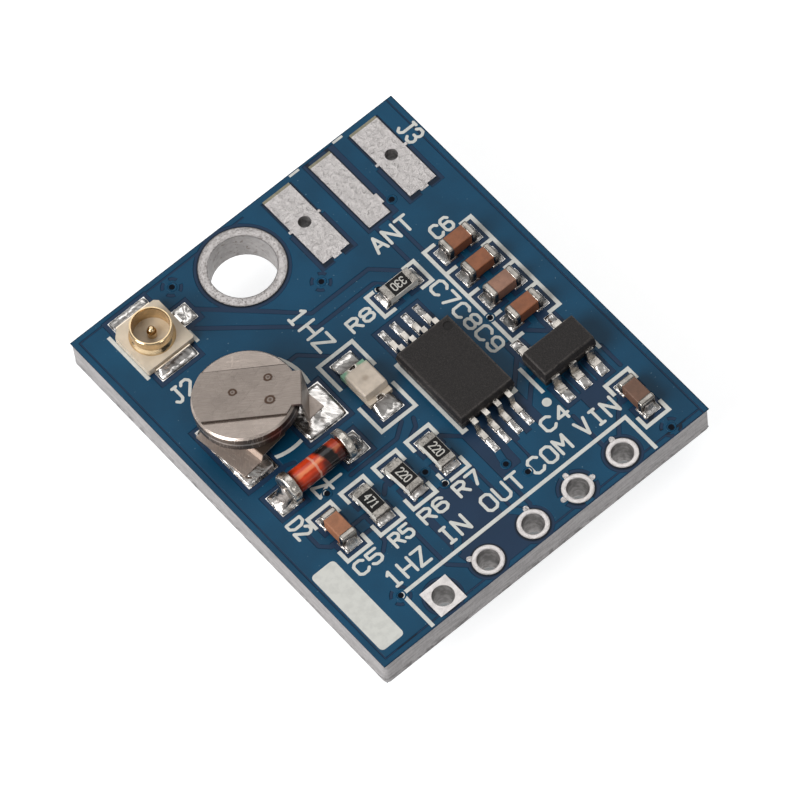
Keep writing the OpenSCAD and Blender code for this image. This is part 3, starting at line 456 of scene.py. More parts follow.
def steel_finish(name, metal, turn, factor=1.0, dull=0.26, welds=(), edges=None, plane=None, plus=None,
                 crown=None):
    """Brushed steel, stained at welds, painted shade along a strip's edges, down a cell's side and on a crown.
    """
    look = Look(name, Metallic=1.0)
    x, y, z = look.axes()
    cos, sin = math.cos(math.radians(turn)), math.sin(math.radians(turn))
    brush = look.grain(0.5, 0.03, 0.3, turn=turn, detail=3.0, rough=0.6)
    cloud = look.grain(1.2, 1.2, 1.2, detail=3.0)
    scratch = look.ease(look.grain(0.9, 0.025, 0.6, turn=turn + 52, detail=0.0), 0.7, 0.78)
    scratch = scratch.most(look.ease(look.grain(0.7, 0.025, 0.6, turn=turn - 61, detail=0.0), 0.72, 0.8))
    colour = shade(metal.steel, factor)
    # Brown-black copy of the steel, used for painted shade
    dark = tuple(c * f for c, f in zip(colour, (0.32, 0.28, 0.25)))
    tone = look.mix(look.ease(brush, 0.3, 0.7), shade(colour, 0.86), shade(colour, 1.06))
    tone = look.mix(look.ease(cloud, 0.45, 0.75) * 0.3, tone, shade(colour, 0.72))
    stain = 0 * cloud
    for centre in welds:
        reach = look.away(x, y, centre) + 0.3 * (cloud - 0.5) + 0.1 * (brush - 0.5)
        stain = stain.most(look.band(reach, 0.15, 0.2, 0.05)).most(0.8 * look.ease(reach, 0.12, 0.03))
    tone = look.mix(stain * 0.8, tone, metal.stain)
    if edges:
        # Painted shade: dark lines along both edges of the strip
        flat = look.band(y * cos - x * sin, edges[0] + 0.05, edges[1] - 0.05, 0.03)
        tone = look.mix(1 - flat, tone, shade(colour, 0.25))
    if plane:
        normal, level = plane
        depth = level / MM - (x * normal.x + y * normal.y + z * normal.z)
        # Painted shade down the cell's side below its top edge
        tone = look.mix(look.ease(depth, 0.06, 0.12), tone, dark)
        # Painted highlight: a bright line part way down the side
        tone = look.mix(look.band(depth, 0.4, 0.46, 0.04) * 0.8, tone, shade(colour, 1.15))
        tone = look.mix(scratch * 0.6, tone, shade(colour, 1.3))
    if plus:
        along = abs((x - plus[0]) * cos + (y - plus[1]) * sin)
        across = abs((y - plus[1]) * cos - (x - plus[0]) * sin)
        arms = look.ease(along.least(across), 0.06, 0.03) * look.ease(along.most(across), 0.3, 0.26)
        tone = look.mix(arms * look.ease(cloud, 0.25, 0.5) * 0.7, tone, shade(colour, 1.35))
        stain = stain.most(arms * 0.4)
    if crown:
        # Painted shade on the lower tab's raised crown, under the cell
        tone = look.mix(look.ease(z, crown - 0.1, crown - 0.04), tone, dark)
    look.set(Base_Color=tone, Roughness=dull + 0.14 * cloud + 0.25 * stain,
             Normal=look.bump(brush + 0.6 * scratch - 0.8 * stain, 7.0, 0.6))
    return look.material


def can_finish(metal):
    look = Look("can_sheet", Metallic=1.0)
    brush = look.grain(2.5, 0.05, 0.4, detail=3.0)
    cloud = look.grain(2.5, 2.5, 2.5, detail=3.0)
    tone = look.mix(look.ease(brush + 0.3 * cloud, 0.45, 0.85), shade(metal.can, 0.8), shade(metal.can, 1.04))
    look.set(Base_Color=tone, Roughness=0.28 + 0.12 * cloud, Normal=look.bump(brush, 5.0, 0.4))
    return look.material


def ink_finish(name, colour):
    """Slightly uneven screen print."""
    look = Look(name, IOR=1.4)
    thin = look.grain(0.3, 0.3, 0.3, detail=3.0)
    dots = look.grain(0.04, 0.04, 0.04, detail=1.0)
    tone = look.mix(look.ease(thin, 0.3, 0.6), shade(colour, 0.9), colour)
    look.set(Base_Color=tone, Roughness=0.5 + 0.15 * thin, Normal=look.bump(thin + 0.6 * dots, 5.0, 0.4))
    return look.material


def mould_finish(name, pieces, node):
    """Moulded black epoxy with filler sparks, a pale parting line, worn edges with painted highlight, a dimple
    in painted shade.
    """
    look = Look(name, IOR=1.4)
    x, y, z = look.axes()
    low, high = (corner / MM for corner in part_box(node))
    spark = look.grain(0.03, 0.03, 0.03, detail=2.0)
    skin = look.grain(0.12, 0.12, 0.12, detail=3.0)
    cloud = look.grain(1.2, 1.2, 1.2, detail=2.0)
    tone = look.mix(look.ease(spark, 0.42, 0.75), shade(pieces.mould, 0.7), shade(pieces.mould, 2.8))
    tone = look.mix(look.ease(cloud, 0.4, 0.8) * 0.3, tone, shade(pieces.mould, 1.6))
    middle = (low.z + high.z) / 2
    seam = look.band(z, middle - 0.08, middle + 0.08, 0.03) * look.ease(skin, 0.4, 0.6)
    aside = (x - low.x).least(high.x - x).least((y - low.y).least(high.y - y))
    # Pale top edges, partly painted highlight and partly wear
    edge = look.ease(aside, 0.17, 0.1) * look.ease(z, high.z - 0.12, high.z - 0.05)
    edge = edge * look.ease(skin, 0.3, 0.6)
    tone = look.mix(seam * 0.5, tone, linear(120, 112, 106))
    tone = look.mix(edge * 0.3, tone, linear(104, 98, 94))
    # Painted shade in the dimple
    dimple = look.ease(aside, 0.18, 0.24) * look.ease(z, high.z - 0.01, high.z - 0.03)
    tone = look.mix(dimple * 0.6, tone, shade(pieces.mould, 0.45))
    look.set(Base_Color=tone, Roughness=0.42 + 0.2 * skin, Normal=look.bump(skin + 0.5 * spark, 14.0, 0.8))
    return look.material


def ceramic_finish(name, colour, gloss, sheen=0.5):
    """Fired ceramic or glaze with a mottled body."""
    look = Look(name, IOR=1.55, Specular_IOR_Level=sheen)
    mottle = look.grain(0.35, 0.35, 0.35, detail=4.0, rough=0.6)
    fine = look.grain(0.05, 0.05, 0.05, detail=2.0)
    tone = look.mix(look.ease(0.7 * mottle + 0.3 * fine, 0.34, 0.66), shade(colour, 0.8), shade(colour, 1.14))
    look.set(Base_Color=tone, Roughness=gloss + 0.2 * fine, Normal=look.bump(fine + 0.5 * mottle, 6.0, 0.6))
    return look.material


def cream_finish(pieces):
    """Moulded cream resin, with painted shade along its foot."""
    look = Look("socket_resin", IOR=1.5, Subsurface_Weight=0.1, Subsurface_Radius=(0.0004, 0.0003, 0.0002))
    _, _, z = look.axes()
    soft = look.grain(0.6, 0.6, 0.4, detail=3.0)
    fine = look.grain(0.05, 0.05, 0.05, detail=2.0)
    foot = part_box("coax_housing")[0].z / MM
    tone = look.mix(look.ease(soft, 0.35, 0.7), shade(pieces.cream, 0.9), shade(pieces.cream, 1.04))
    # Painted shade along the foot, where the socket meets the board
    tone = look.mix(look.ease(z, foot + 0.2, foot) * 0.45, tone, shade(pieces.cream, 0.55))
    look.set(Base_Color=tone, Roughness=0.42 + 0.16 * fine, Normal=look.bump(fine + 0.5 * soft, 6.0, 0.5))
    return look.material


def lamp_finish(name, colour, pieces, spot):
    """Milky resin or pale laminate, green at the far corners, with the die showing through as a dim spot."""
    look = Look(name, IOR=1.45, Subsurface_Weight=0.15, Subsurface_Radius=(0.0004, 0.0004, 0.0003))
    x, y, _ = look.axes()
    soft = look.grain(0.4, 0.4, 0.4, detail=3.0)
    fine = look.grain(0.06, 0.06, 0.06, detail=2.0)
    low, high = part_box("lamp_lens")
    middle = ((low.x + high.x) / 2 / MM, (low.y + high.y) / 2 / MM)
    tone = look.mix(look.ease(soft, 0.3, 0.7), shade(colour, 0.86), shade(colour, 1.06))
    die = look.ease(look.away(x, y, middle) + 0.1 * (soft - 0.5), 0.22, 0.05) * spot
    tone = look.mix(die, tone, linear(140, 120, 100))
    low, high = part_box("lamp_base")
    green = 0 * soft
    for side in (low.x, high.x):
        reach = look.away(x, y, (side / MM, high.y / MM)) + 0.25 * (soft - 0.5)
        green = green.most(look.ease(reach, 0.52, 0.2))
    tone = look.mix(green * 0.8, tone, pieces.mark)
    look.set(Base_Color=tone, Roughness=0.34 + 0.2 * fine, Normal=look.bump(fine + soft, 8.0, 0.5))
    return look.material


def glass_finish(pieces):
    """Red glass with a painted highlight streak and lower edge, painted shade on flanks, pale seal, soft black
    band.
    """
    look = Look("diode_glass_red", IOR=1.45, Specular_IOR_Level=0.4, Coat_Weight=0.3, Coat_Roughness=0.04)
    x, y, z = look.axes()
    low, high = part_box("diode_glass")
    start, length, middle = low.x / MM, (high.x - low.x) / MM, (low.y + high.y) / 2 / MM
    radius, axis = (high.y - low.y) / 2 / MM, (low.z + high.z) / 2 / MM
    swirl = look.grain(0.5, 0.2, 0.2, detail=2.0)
    along = (x - start) / length + 0.06 * (swirl - 0.5)
    aside = (y - middle) / radius + 0.3 * (swirl - 0.5)
    rise = (z - axis) / radius
    tone = look.mix(look.ease(swirl, 0.3, 0.7), shade(pieces.glass, 0.75), shade(pieces.glass, 1.15))
    # Painted shade down the sides below the top
    tone = look.mix(look.ease(rise, 0.9, 0.2) * 0.8, tone, shade(pieces.glass, 0.25))
    # Painted highlight: a light streak along the top of the glass
    streak = look.band(aside, -0.3, -0.14, 0.18) * look.ease(rise, 0.5, 0.9)
    tone = look.mix(streak * 0.75, tone, linear(240, 150, 104))
    # Painted shade towards the near end
    tone = look.mix(look.ease(along, 0.14, 0.0) * 0.8, tone, shade(pieces.glass, 0.25))
    tone = look.mix(look.band(along, 0.43, 0.45, 0.02) * 0.5, tone, linear(226, 184, 160))
    tone = look.mix(look.ease(along, 0.78, 0.9) * 0.6, tone, linear(110, 40, 18))
    # Painted shade on the lower flank past the seal; the black band itself is the glass's own
    flank_shade = look.ease(along, 0.46, 0.6) * look.ease(aside, -0.2, -0.65) * 0.85
    tone = look.mix(look.band(along + 0.05 * aside, 0.63, 0.78, 0.1).most(flank_shade), tone, pieces.band)
    # Painted highlight: a pale line low on the lower flank, where the clear outer glass shows
    lower = look.band(rise, -0.36, -0.26, 0.05) * look.ease(aside, -0.5, -0.8) * look.ease(along, 0.55, 0.4)
    tone = look.mix(lower * 0.7, tone, linear(206, 190, 178))
    look.set(Base_Color=tone, Roughness=0.08 + 0.1 * swirl, Normal=look.bump(0.008 * swirl, 1000.0))
    return look.material


def carrier_finish(pieces):
    look = Look("carrier_mask", IOR=1.5)
    cloud = look.grain(1.2, 1.2, 1.2, detail=3.0)
    fine = look.grain(0.07, 0.07, 0.07, detail=2.0)
    tone = look.mix(cloud, shade(pieces.carrier, 0.75), shade(pieces.carrier, 1.25))
    look.set(Base_Color=tone, Roughness=0.38 + 0.15 * fine, Normal=look.bump(fine, 5.0, 0.5))
    return look.material


def via_shade_finish():
    # A dark disc of painted shade in place of a via's hole
    look = Look("via_shadow", Specular_IOR_Level=0.1)
    pits = look.grain(0.05, 0.05, 0.05, detail=2.0)
    tone = look.mix(pits, linear(6, 8, 12), linear(20, 24, 34))
    look.set(Base_Color=tone, Roughness=0.7 + 0.2 * pits, Normal=look.bump(pits, 10.0, 0.6))
    return look.material


def floor_finish(stage):
    look = Look("floor_paper", Emission_Strength=stage.glow)
    x, y, _ = look.axes()
    fibre = look.grain(0.9, 0.9, 0.9, detail=3.0)
    tone = look.mix(fibre, shade(stage.floor, 0.985), stage.floor)
    half_w, half_l = BOARD_W / 2, BOARD_L / 2
    # Painted shadow: the floor's glow dims under the board
    under = (1 - look.ease(abs(x), half_w - 2.5, half_w - 1)) * look.band(y, 2 - half_l, half_l - 6, 0.5)
    look.set(Base_Color=look.mix(fibre, shade(stage.floor, 0.48), shade(stage.floor, 0.5)),
             Emission_Color=look.mix(under * 0.85, tone, (0.02, 0.02, 0.02)), Roughness=0.9 + 0.05 * fibre)
    return look.material


def dress(finish, *nodes):
    """Gives CAD nodes a finish, in the slots that they already have."""
    for node in nodes:
        for slot in NODES[node].material_slots:
            slot.material = finish


def piece(name, mesh, slot, *finishes, replaces=()):
    """Adds a finished mesh to the part, riding on its one body."""
    for finish in finishes:
        mesh.materials.append(finish)
    made = bpy.data.objects.new(name, mesh)
    bpy.context.scene.collection.objects.link(made)
    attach(made, "root")
    if replaces:
        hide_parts(*replaces)
    return made


def merged(node):
    """Copy of a node's mesh with its loose triangles joined."""
    work = bmesh.new()
    work.from_mesh(NODES[node].data)
    bmesh.ops.remove_doubles(work, verts=work.verts, dist=1e-7)
    return work


def islands(node):
    """Points of each separate solid of a node."""
    work = merged(node)
    found, left = [], set(work.verts)
    while left:
        group, border = [], [min(left, key=lambda v: v.index)]
        left.discard(border[0])
        while border:
            vertex = border.pop()
            group.append(vertex.co.copy())
            for edge in vertex.link_edges:
                other = edge.other_vert(vertex)
                if other in left:
                    left.discard(other)
                    border.append(other)
        found.append(group)
    work.free()
    return found


def box_of(points):
    return [Vector([pick(p[i] for p in points) for i in range(3)]) for pick in (min, max)]


def hole_places(node):
    """Middles of the drilled pads on the upper face of a node, from left to right."""
    places = []
    for points in islands(node):
        low, high = box_of(points)
        if low.z > BOARD_LOW.z and len(points) > 30:
            places.append((low + high) / 2)
    if node == "edge_pads":
        places = [Vector((p.x, mounting_line(), p.z)) for p in places]
    return sorted(places, key=lambda p: p.x)


def edge_pad_sides():
    """Least and greatest x and least y in millimetres of each edge pad on the upper face."""
    sides = []
    for points in islands("edge_pads"):
        low, high = box_of(points)
        if low.z > BOARD_LOW.z:
            along = [p.x / MM for p in points if p.y > high.y - 0.01 * MM]
            sides.append((min(along), max(along), low.y / MM))
    return sides


def mounting_line():
    """The drilled edge pads have their holes level with the antenna socket's middle."""
    low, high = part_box("coax_shell")
    return (low.y + high.y) / 2


def socket_middle():
    low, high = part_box("coax_shell")
    return ((low.x + high.x) / 2 / MM, mounting_line() / MM)


def top_plane(node):
    """Normal and level of the largest upper face of a node."""
    work = merged(node)
    bmesh.ops.dissolve_limit(work, angle_limit=math.radians(1), verts=work.verts, edges=work.edges)
    face = max((f for f in work.faces if f.normal.z > 0.5), key=lambda f: f.calc_area())
    plane = face.normal.copy(), face.normal.dot(face.verts[0].co)
    work.free()
    return plane


def strip_edges(node, turn, deep):
    """Least and greatest distance across a strip that runs at a turn about Z, within a depth of its top."""
    cos, sin = math.cos(math.radians(turn)), math.sin(math.radians(turn))
    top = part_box(node)[1].z
    aside = [(v.co.y * cos - v.co.x * sin) / MM for v in NODES[node].data.vertices if v.co.z > top - deep]
    return min(aside), max(aside)


def from_corner(point):
    """Place in millimetres from the board's near left corner."""
    return ((point[0] - BOARD_LOW.x) / MM, (point[1] - BOARD_LOW.y) / MM)


def arc(centre, radius, start, end, steps):
    angles = [math.radians(start + (end - start) * i / steps) for i in range(steps + 1)]
    return [(centre[0] + radius * math.cos(a), centre[1] + radius * math.sin(a)) for a in angles]


def inside(points, outline):
    """Which of the points lie within a closed outline."""
    x, y = points[:, 0], points[:, 1]
    result = np.zeros(len(points), bool)
    for (x0, y0), (x1, y1) in zip(outline, outline[1:] + outline[:1]):
        crosses = (y0 > y) != (y1 > y)
        result ^= crosses & (x < x0 + (y - y0) * (x1 - x0) / ((y1 - y0) or 1.0))
    return result


class Area:
    """Flat outlines in millimetres from the board's corner, joined into one area."""

    def __init__(self):
        self.outlines = []

    def field(self, *points):
        self.outlines.append([tuple(p) for p in points])

    def box(self, low, high):
        self.field(low, (high[0], low[1]), high, (low[0], high[1]))

    def disc(self, centre, radius, steps=36):
        self.field(*arc(centre, radius, 0, 360, steps)[:-1])

    def sector(self, centre, inner, outer, start, end):
        self.field(*arc(centre, outer, start, end, 6), *arc(centre, inner, end, start, 6))

    def stroke(self, points, width, steps=4):
        """Line of one width with round ends and corners."""
        for (x0, y0), (x1, y1) in zip(points, points[1:]):
            turn = math.degrees(math.atan2(y1 - y0, x1 - x0))
            self.field(*arc((x1, y1), width / 2, turn - 90, turn + 90, steps),
                       *arc((x0, y0), width / 2, turn + 90, turn + 270, steps))

    def holds(self, points):
        result = np.zeros(len(points), bool)
        for outline in self.outlines:
            result |= inside(points, outline)
        return result


def plate(name, areas, keep, low, high, slope=0.0):
    """Closed plate between two heights, over what the test keeps of the areas, with sloping sides."""
    points, edges = [], []
    for outline in [o for area in areas for o in area.outlines]:
        start, count = len(points), len(outline)
        points += [Vector(p) for p in outline]
        edges += [(start + i, start + (i + 1) % count) for i in range(count)]
    spots, _, faces, *_ = delaunay_2d_cdt(points, edges, [], 0, 1e-5)
    spots = np.array([tuple(s) for s in spots])
    faces = np.array([tuple(f) for f in faces])
    corners = spots[faces]
    first, second = corners[:, 1] - corners[:, 0], corners[:, 2] - corners[:, 0]
    area = first[:, 0] * second[:, 1] - first[:, 1] * second[:, 0]
    faces[area < 0] = faces[area < 0][:, ::-1]
    faces = faces[keep(corners.mean(1)) & (abs(area) > 1e-9)]
    used = np.unique(faces)
    order = {int(v): i for i, v in enumerate(used)}
    count = len(used)
    flat = [(BOARD_LOW.x + x * MM, BOARD_LOW.y + y * MM) for x, y in spots[used]]
    tops = [[order[int(v)] for v in f] for f in faces]
    ways = {(f[i], f[(i + 1) % 3]) for f in tops for i in range(3)}
    rims = [(a, b) for a, b in sorted(ways) if (b, a) not in ways]
    sides = [(a + count, b + count, b, a) for a, b in rims]
    lean = [Vector((0.0, 0.0)) for _ in flat]
    for a, b in rims:
        way = Vector(flat[b]) - Vector(flat[a])
        for end in (a, b):
            lean[end] += Vector((way.y, -way.x)).normalized()
    feet = [Vector(p) + n * (2 * slope / max(2.0, n.length_squared)) for p, n in zip(flat, lean)]
    mesh = bpy.data.meshes.new(name)
    mesh.from_pydata([(x, y, high) for x, y in flat] + [(x, y, low) for x, y in feet], [],
                     tops + [[v + count for v in reversed(f)] for f in tops] + sides)
    mesh.validate()
    return mesh


def joined(name, meshes):
    """One mesh of several, which keep no materials."""
    work = bmesh.new()
    for mesh in meshes:
        work.from_mesh(mesh)
        bpy.data.meshes.remove(mesh)
    result = bpy.data.meshes.new(name)
    work.to_mesh(result)
    work.free()
    return result


# Tracks and bare lines of the upper copper, in millimetres from the board's near left corner
BARE_LINES = [
    [(4.95, 19.0), (8.1, 15.85), (8.75, 15.2), (12.0, 15.2), (13.05, 14.15)],
    [(4.35, 18.2), (8.05, 14.95), (8.5, 14.5), (11.7, 14.5), (12.2, 14.0)],
    [(13.58, 16.6), (13.58, 14.25)],
    [(14.36, 16.6), (14.36, 14.0)],
    [(6.3, 14.05), (6.95, 14.05), (8.0, 13.0)],
    [(4.9, 8.0), (7.5, 8.0), (8.2, 8.5)],
    [(8.7, 8.3), (8.5, 7.9), (7.9, 7.6)],
    [(3.35, 6.1), (4.15, 6.1)],
    [(3.35, 5.42), (4.15, 5.42)],
    [(5.35, 6.3), (5.7, 6.65)],
    [(8.95, 6.9), (9.7, 6.15), (9.7, 1.75)],
    [(12.8, 6.4), (13.95, 7.55), (13.95, 8.4)],
    [(12.75, 5.3), (13.75, 6.3), (13.95, 6.3)],
    [(15.0, 8.35), (15.75, 7.6)],
    [(1.66, 7.0), (1.66, 6.3), (2.05, 5.9)],
    [(3.95, 4.85), (3.95, 4.6), (3.55, 4.25)],
    [(5.15, 4.9), (5.15, 1.95), (5.85, 1.25)],
    [(13.85, 3.7), (13.85, 1.7)],
    [(15.95, 3.05), (15.3, 2.4), (14.65, 1.6)],
    [(11.15, 4.5), (11.15, 3.4)],
    [(17.0, 4.2), (17.0, 5.5)],
    [(2.7, 10.1), (3.1, 10.25), (3.5, 10.1)],
]
BARE_FIELDS = [
    [(5.78, 5.0), (9.1, 5.0), (9.1, 2.15), (9.55, 1.7), (9.55, 0.35), (6.1, 0.35), (5.78, 1.8)],
    [(14.6, 4.35), (15.95, 4.35), (15.95, 3.2), (14.6, 3.2)],
    [(9.75, 6.5), (12.9, 6.5), (12.9, 4.45), (11.2, 4.45), (11.2, 3.5), (9.75, 3.5)],
]
TRACKS = [
    [(6.35, 5.0), (6.35, 2.6), (5.9, 2.1)],
    [(8.75, 5.0), (8.75, 2.2), (9.15, 1.75)],
    [(10.335, 4.8), (10.17, 3.89)],
    [(10.985, 4.8), (10.95, 3.6), (10.63, 2.97)],
    [(11.635, 4.8), (11.6, 4.3)],
    [(12.285, 4.8), (12.3, 4.3)],
]
RELIEF_VIAS = [(5.07, 20.33), (10.07, 16.11), (2.74, 2.14), (16.6, 0.45)]
PLAIN_VIAS = [(15.01, 17.16), (7.36, 5.94), (7.63, 4.94), (10.17, 3.89), (10.63, 2.97), (14.34, 9.77),
              (11.67, 14.13), (3.56, 8.0)]
RELIEF_PAD = 3

# Letters as strokes on a grid four units wide and six high
GLYPHS = {
    "0": [[(1, 0), (0, 1), (0, 5), (1, 6), (3, 6), (4, 5), (4, 1), (3, 0), (1, 0)]],
    "1": [[(1, 5), (2, 6), (2, 0)], [(1, 0), (3, 0)]],
    "2": [[(0, 5), (1, 6), (3, 6), (4, 5), (4, 4), (0, 0), (4, 0)]],
    "3": [[(0, 5), (1, 6), (3, 6), (4, 5), (4, 4), (3, 3), (4, 2), (4, 1), (3, 0), (1, 0), (0, 1)],
          [(3, 3), (1.5, 3)]],
    "4": [[(3, 0), (3, 6), (0, 2), (4, 2)]],
    "5": [[(4, 6), (0, 6), (0, 3.5), (3, 3.5), (4, 2.5), (4, 1), (3, 0), (1, 0), (0, 1)]],
    "6": [[(4, 5), (3, 6), (1, 6), (0, 5), (0, 1), (1, 0), (3, 0), (4, 1), (4, 2.5), (3, 3.5), (0, 3.5)]],
    "7": [[(0, 6), (4, 6), (1.5, 0)]],
    "8": [[(1, 3.2), (0, 4), (0, 5), (1, 6), (3, 6), (4, 5), (4, 4), (3, 3.2), (1, 3.2), (0, 2.3),
           (0, 1), (1, 0), (3, 0), (4, 1), (4, 2.3), (3, 3.2)]],
    "9": [[(0, 1), (1, 0), (3, 0), (4, 1), (4, 5), (3, 6), (1, 6), (0, 5), (0, 3.5), (1, 2.5), (4, 2.5)]],
    "A": [[(0, 0), (2, 6), (4, 0)], [(0.8, 2), (3.2, 2)]],
    "C": [[(4, 5), (3, 6), (1, 6), (0, 5), (0, 1), (1, 0), (3, 0), (4, 1)]],
    "D": [[(0, 0), (0, 6), (2.5, 6), (4, 4.5), (4, 1.5), (2.5, 0), (0, 0)]],
    "H": [[(0, 0), (0, 6)], [(4, 0), (4, 6)], [(0, 3), (4, 3)]],
    "I": [[(2, 0), (2, 6)], [(1, 0), (3, 0)], [(1, 6), (3, 6)]],
    "J": [[(0, 1), (1, 0), (2, 0), (3, 1), (3, 6)], [(2, 6), (4, 6)]],
    "M": [[(0, 0), (0, 6), (2, 2.5), (4, 6), (4, 0)]],
    "N": [[(0, 0), (0, 6), (4, 0), (4, 6)]],
    "O": [[(1, 0), (0, 1), (0, 5), (1, 6), (3, 6), (4, 5), (4, 1), (3, 0), (1, 0)]],
    "R": [[(0, 0), (0, 6), (3, 6), (4, 5), (4, 4), (3, 3), (0, 3)], [(2, 3), (4, 0)]],
    "T": [[(0, 6), (4, 6)], [(2, 6), (2, 0)]],
    "U": [[(0, 6), (0, 1), (1, 0), (3, 0), (4, 1), (4, 6)]],
    "V": [[(0, 6), (2, 0), (4, 6)]],
    "Z": [[(0, 6), (4, 6), (0, 0), (4, 0)]],
}
GLYPH_STEP = 5.7

# Words, the box that three or two of their letters fill, and the turn in degrees
LABELS = [
    ("1HZ", (2.7, 2.51, 4.91, 3.44), 3, 0), ("IN", (5.39, 2.51, 7.56, 3.44), 3, 0),
    ("OUT", (8.09, 2.51, 10.27, 3.44), 3, 0), ("COM", (10.76, 2.51, 12.93, 3.44), 3, 0),
    ("VIN", (13.5, 2.51, 15.64, 3.44), 3, 0), ("1HZ", (7.72, 13.37, 8.68, 15.83), 3, -90),
    ("ANT", (12.77, 15.4, 14.96, 16.3), 3, 0), ("C5", (2.03, 3.91, 3.44, 4.69), 2, 0),
    ("R5", (4.06, 3.91, 5.2, 4.69), 2, 0), ("R6", (5.71, 3.91, 7.14, 4.69), 2, 0),
    ("R7", (7.66, 3.91, 9.03, 4.69), 2, 0), ("R8", (9.43, 13.13, 10.81, 13.87), 2, 0),
    ("C4", (12.46, 3.73, 13.89, 4.54), 2, 0), ("C6", (15.13, 14.2, 16.27, 15.0), 2, 0),
    ("C7C8C9", (13.24, 8.3, 14.08, 12.73), 6, -90), ("D2", (1.16, 7.0, 2.03, 8.04), 2, -90),
    ("J3", (17.37, 18.66, 18.31, 19.76), 2, -90), ("J2", (1.55, 15.62, 2.75, 16.5), 2, 0),
]
RESISTOR_NUMBERS = [("471", -90), ("220", -87), ("220", -90), ("330", 180)]
DIODE_SIGN = [
    [(3.2, 8.02), (3.2, 8.62), (3.85, 8.32), (3.2, 8.02)],
    [(3.92, 8.02), (3.92, 8.62)],
    [(3.92, 8.32), (4.6, 8.32)],
]

# Middles of the blank field's round corners, each with the turn at which its arc starts
FIELD_CORNERS = [((0.62, 0.85), 180), ((1.5, 0.85), 270), ((1.5, 5.2), 0), ((0.62, 5.2), 90)]
FIELD_ROUND = 0.2

# Turns of the tinned track ends at the header holes, which are counted from 0
STUB_TURNS = {1: (135,), 2: (72,), 3: (0, 90, 180), 4: (84,)}
STUB_W = 0.26

# Welds on the upper tab and the worn plus sign, in millimetres from the cell's middle
WELDS = [(1.27, -0.06), (0.6, -1.01), (-0.33, 0.44)]
PLUS_SIGN = (0.72, 1.72)
UPPER_TAB_TURN, LOWER_TAB_TURN = -38.5, 50.0

# Name, place, width and power setting of each light
LIGHTS = [
    ("key_light", (-0.3, 0.02, 0.22), 0.26, "key"),
    ("top_light", (0.093, 0.142, 0.317), 0.24, "fill"),
    ("front_light", (0.02, -0.3, 0.2), 0.1, "front"),
]


def written(word, box, count, turn, width):
    """Strokes of a word, in millimetres, centred in a box whose size suits a number of letters."""
    x0, y0, x1, y1 = box
    long_side, tall = (x1 - x0, y1 - y0) if turn in (0, 180) else (y1 - y0, x1 - x0)
    step = (long_side - width) / (GLYPH_STEP * (count - 1) + 4)
    rise = (tall - width) / 6
    start = -step * (GLYPH_STEP * (len(word) - 1) + 4) / 2
    cos, sin = math.cos(math.radians(turn)), math.sin(math.radians(turn))
    middle_x, middle_y = (x0 + x1) / 2, (y0 + y1) / 2
    strokes = []
    for place, letter in enumerate(word):
        for stroke in GLYPHS[letter]:
            flat = [(start + step * (GLYPH_STEP * place + u), rise * (v - 3)) for u, v in stroke]
            strokes.append([(middle_x + u * cos - v * sin, middle_y + u * sin + v * cos) for u, v in flat])
    return strokes


def word_plate(name, strokes, width, low, high):
    area = Area()
    for stroke in strokes:
        area.stroke(stroke, width)
    return plate(name, [area], area.holds, low, high)


def copper_mask(name, nodes, low, high, look, lines=(), fields=(), tracks=(), reliefs=()):
    """Masked copper of one face: a plate with gaps around the pads and beside the tracks."""
    gap, groove = look.clearance / MM, look.groove / MM
    rim, bare, kept, holes = Area(), Area(), Area(), Area()
    edge, border, left, border_end = 0.05, 0.3, 0.32, 9.6
    right, far_side = BOARD_W - border, BOARD_L - border
    relief_gap, spoke, track_w = 0.26, 14, 0.3
    wide_pad, pad_notch, pad_bridge = 1.4, 0.18, 0.25
    via_inner, via_outer, via_arc = 0.32, 0.52, 28
    rim.box((edge, edge), (BOARD_W - edge, BOARD_L - edge))
    bare.stroke([(right, 0), (right, BOARD_L)], groove / 2)
    if lines:
        bare.stroke([(border_end, far_side), (left, far_side), (left, border), (right, border)], groove / 2)
    for node in nodes:
        for points in islands(node):
            near, far = box_of(points)
            if not (near.z - 1e-5 < (low + high) / 2 < far.z + 1e-5):
                continue
            (x0, y0), (x1, y1) = from_corner(near), from_corner(far)
            middle, radius = ((x0 + x1) / 2, (y0 + y1) / 2), (x1 - x0) / 2
            if node.endswith("hole_rings") and len(points) > 60:
                relief = any(math.dist(middle, spot) < 0.3 for spot in reliefs)
                holes.disc(middle, radius)
                if relief:
                    for turn in (0, 90, 180, 270):
                        bare.sector(middle, radius, radius + relief_gap, turn + spoke, turn + 90 - spoke)
                else:
                    bare.disc(middle, radius + gap)
            elif node == "edge_pads" and x1 - x0 > wide_pad:
                holes.box((x0, y0), (x1, y1))
                side = gap * 0.6
                bare.box((x0 - side, y0 - pad_notch), (middle[0] - pad_bridge, middle[1]))
                bare.box((middle[0] + pad_bridge, y0 - pad_notch), (x1 + side, middle[1]))
            else:
                holes.box((x0, y0), (x1, y1))
                bare.box((x0 - gap, y0 - gap), (x1 + gap, y1 + gap))
    for line in lines:
        bare.stroke(line, groove)
    for field in fields:
        bare.field(*field)
    for track in tracks:
        kept.stroke(track, track_w)
    for spot in RELIEF_VIAS if lines else ():
        for turn in (45, 135, 225, 315):
            bare.sector(spot, via_inner, via_outer, turn - via_arc, turn + via_arc)

    def keep(points):
        return rim.holds(points) & ~holes.holds(points) & (kept.holds(points) | ~bare.holds(points))

    return plate(name, [rim, bare, kept, holes], keep, low, high, look.slope if lines else 0.0)


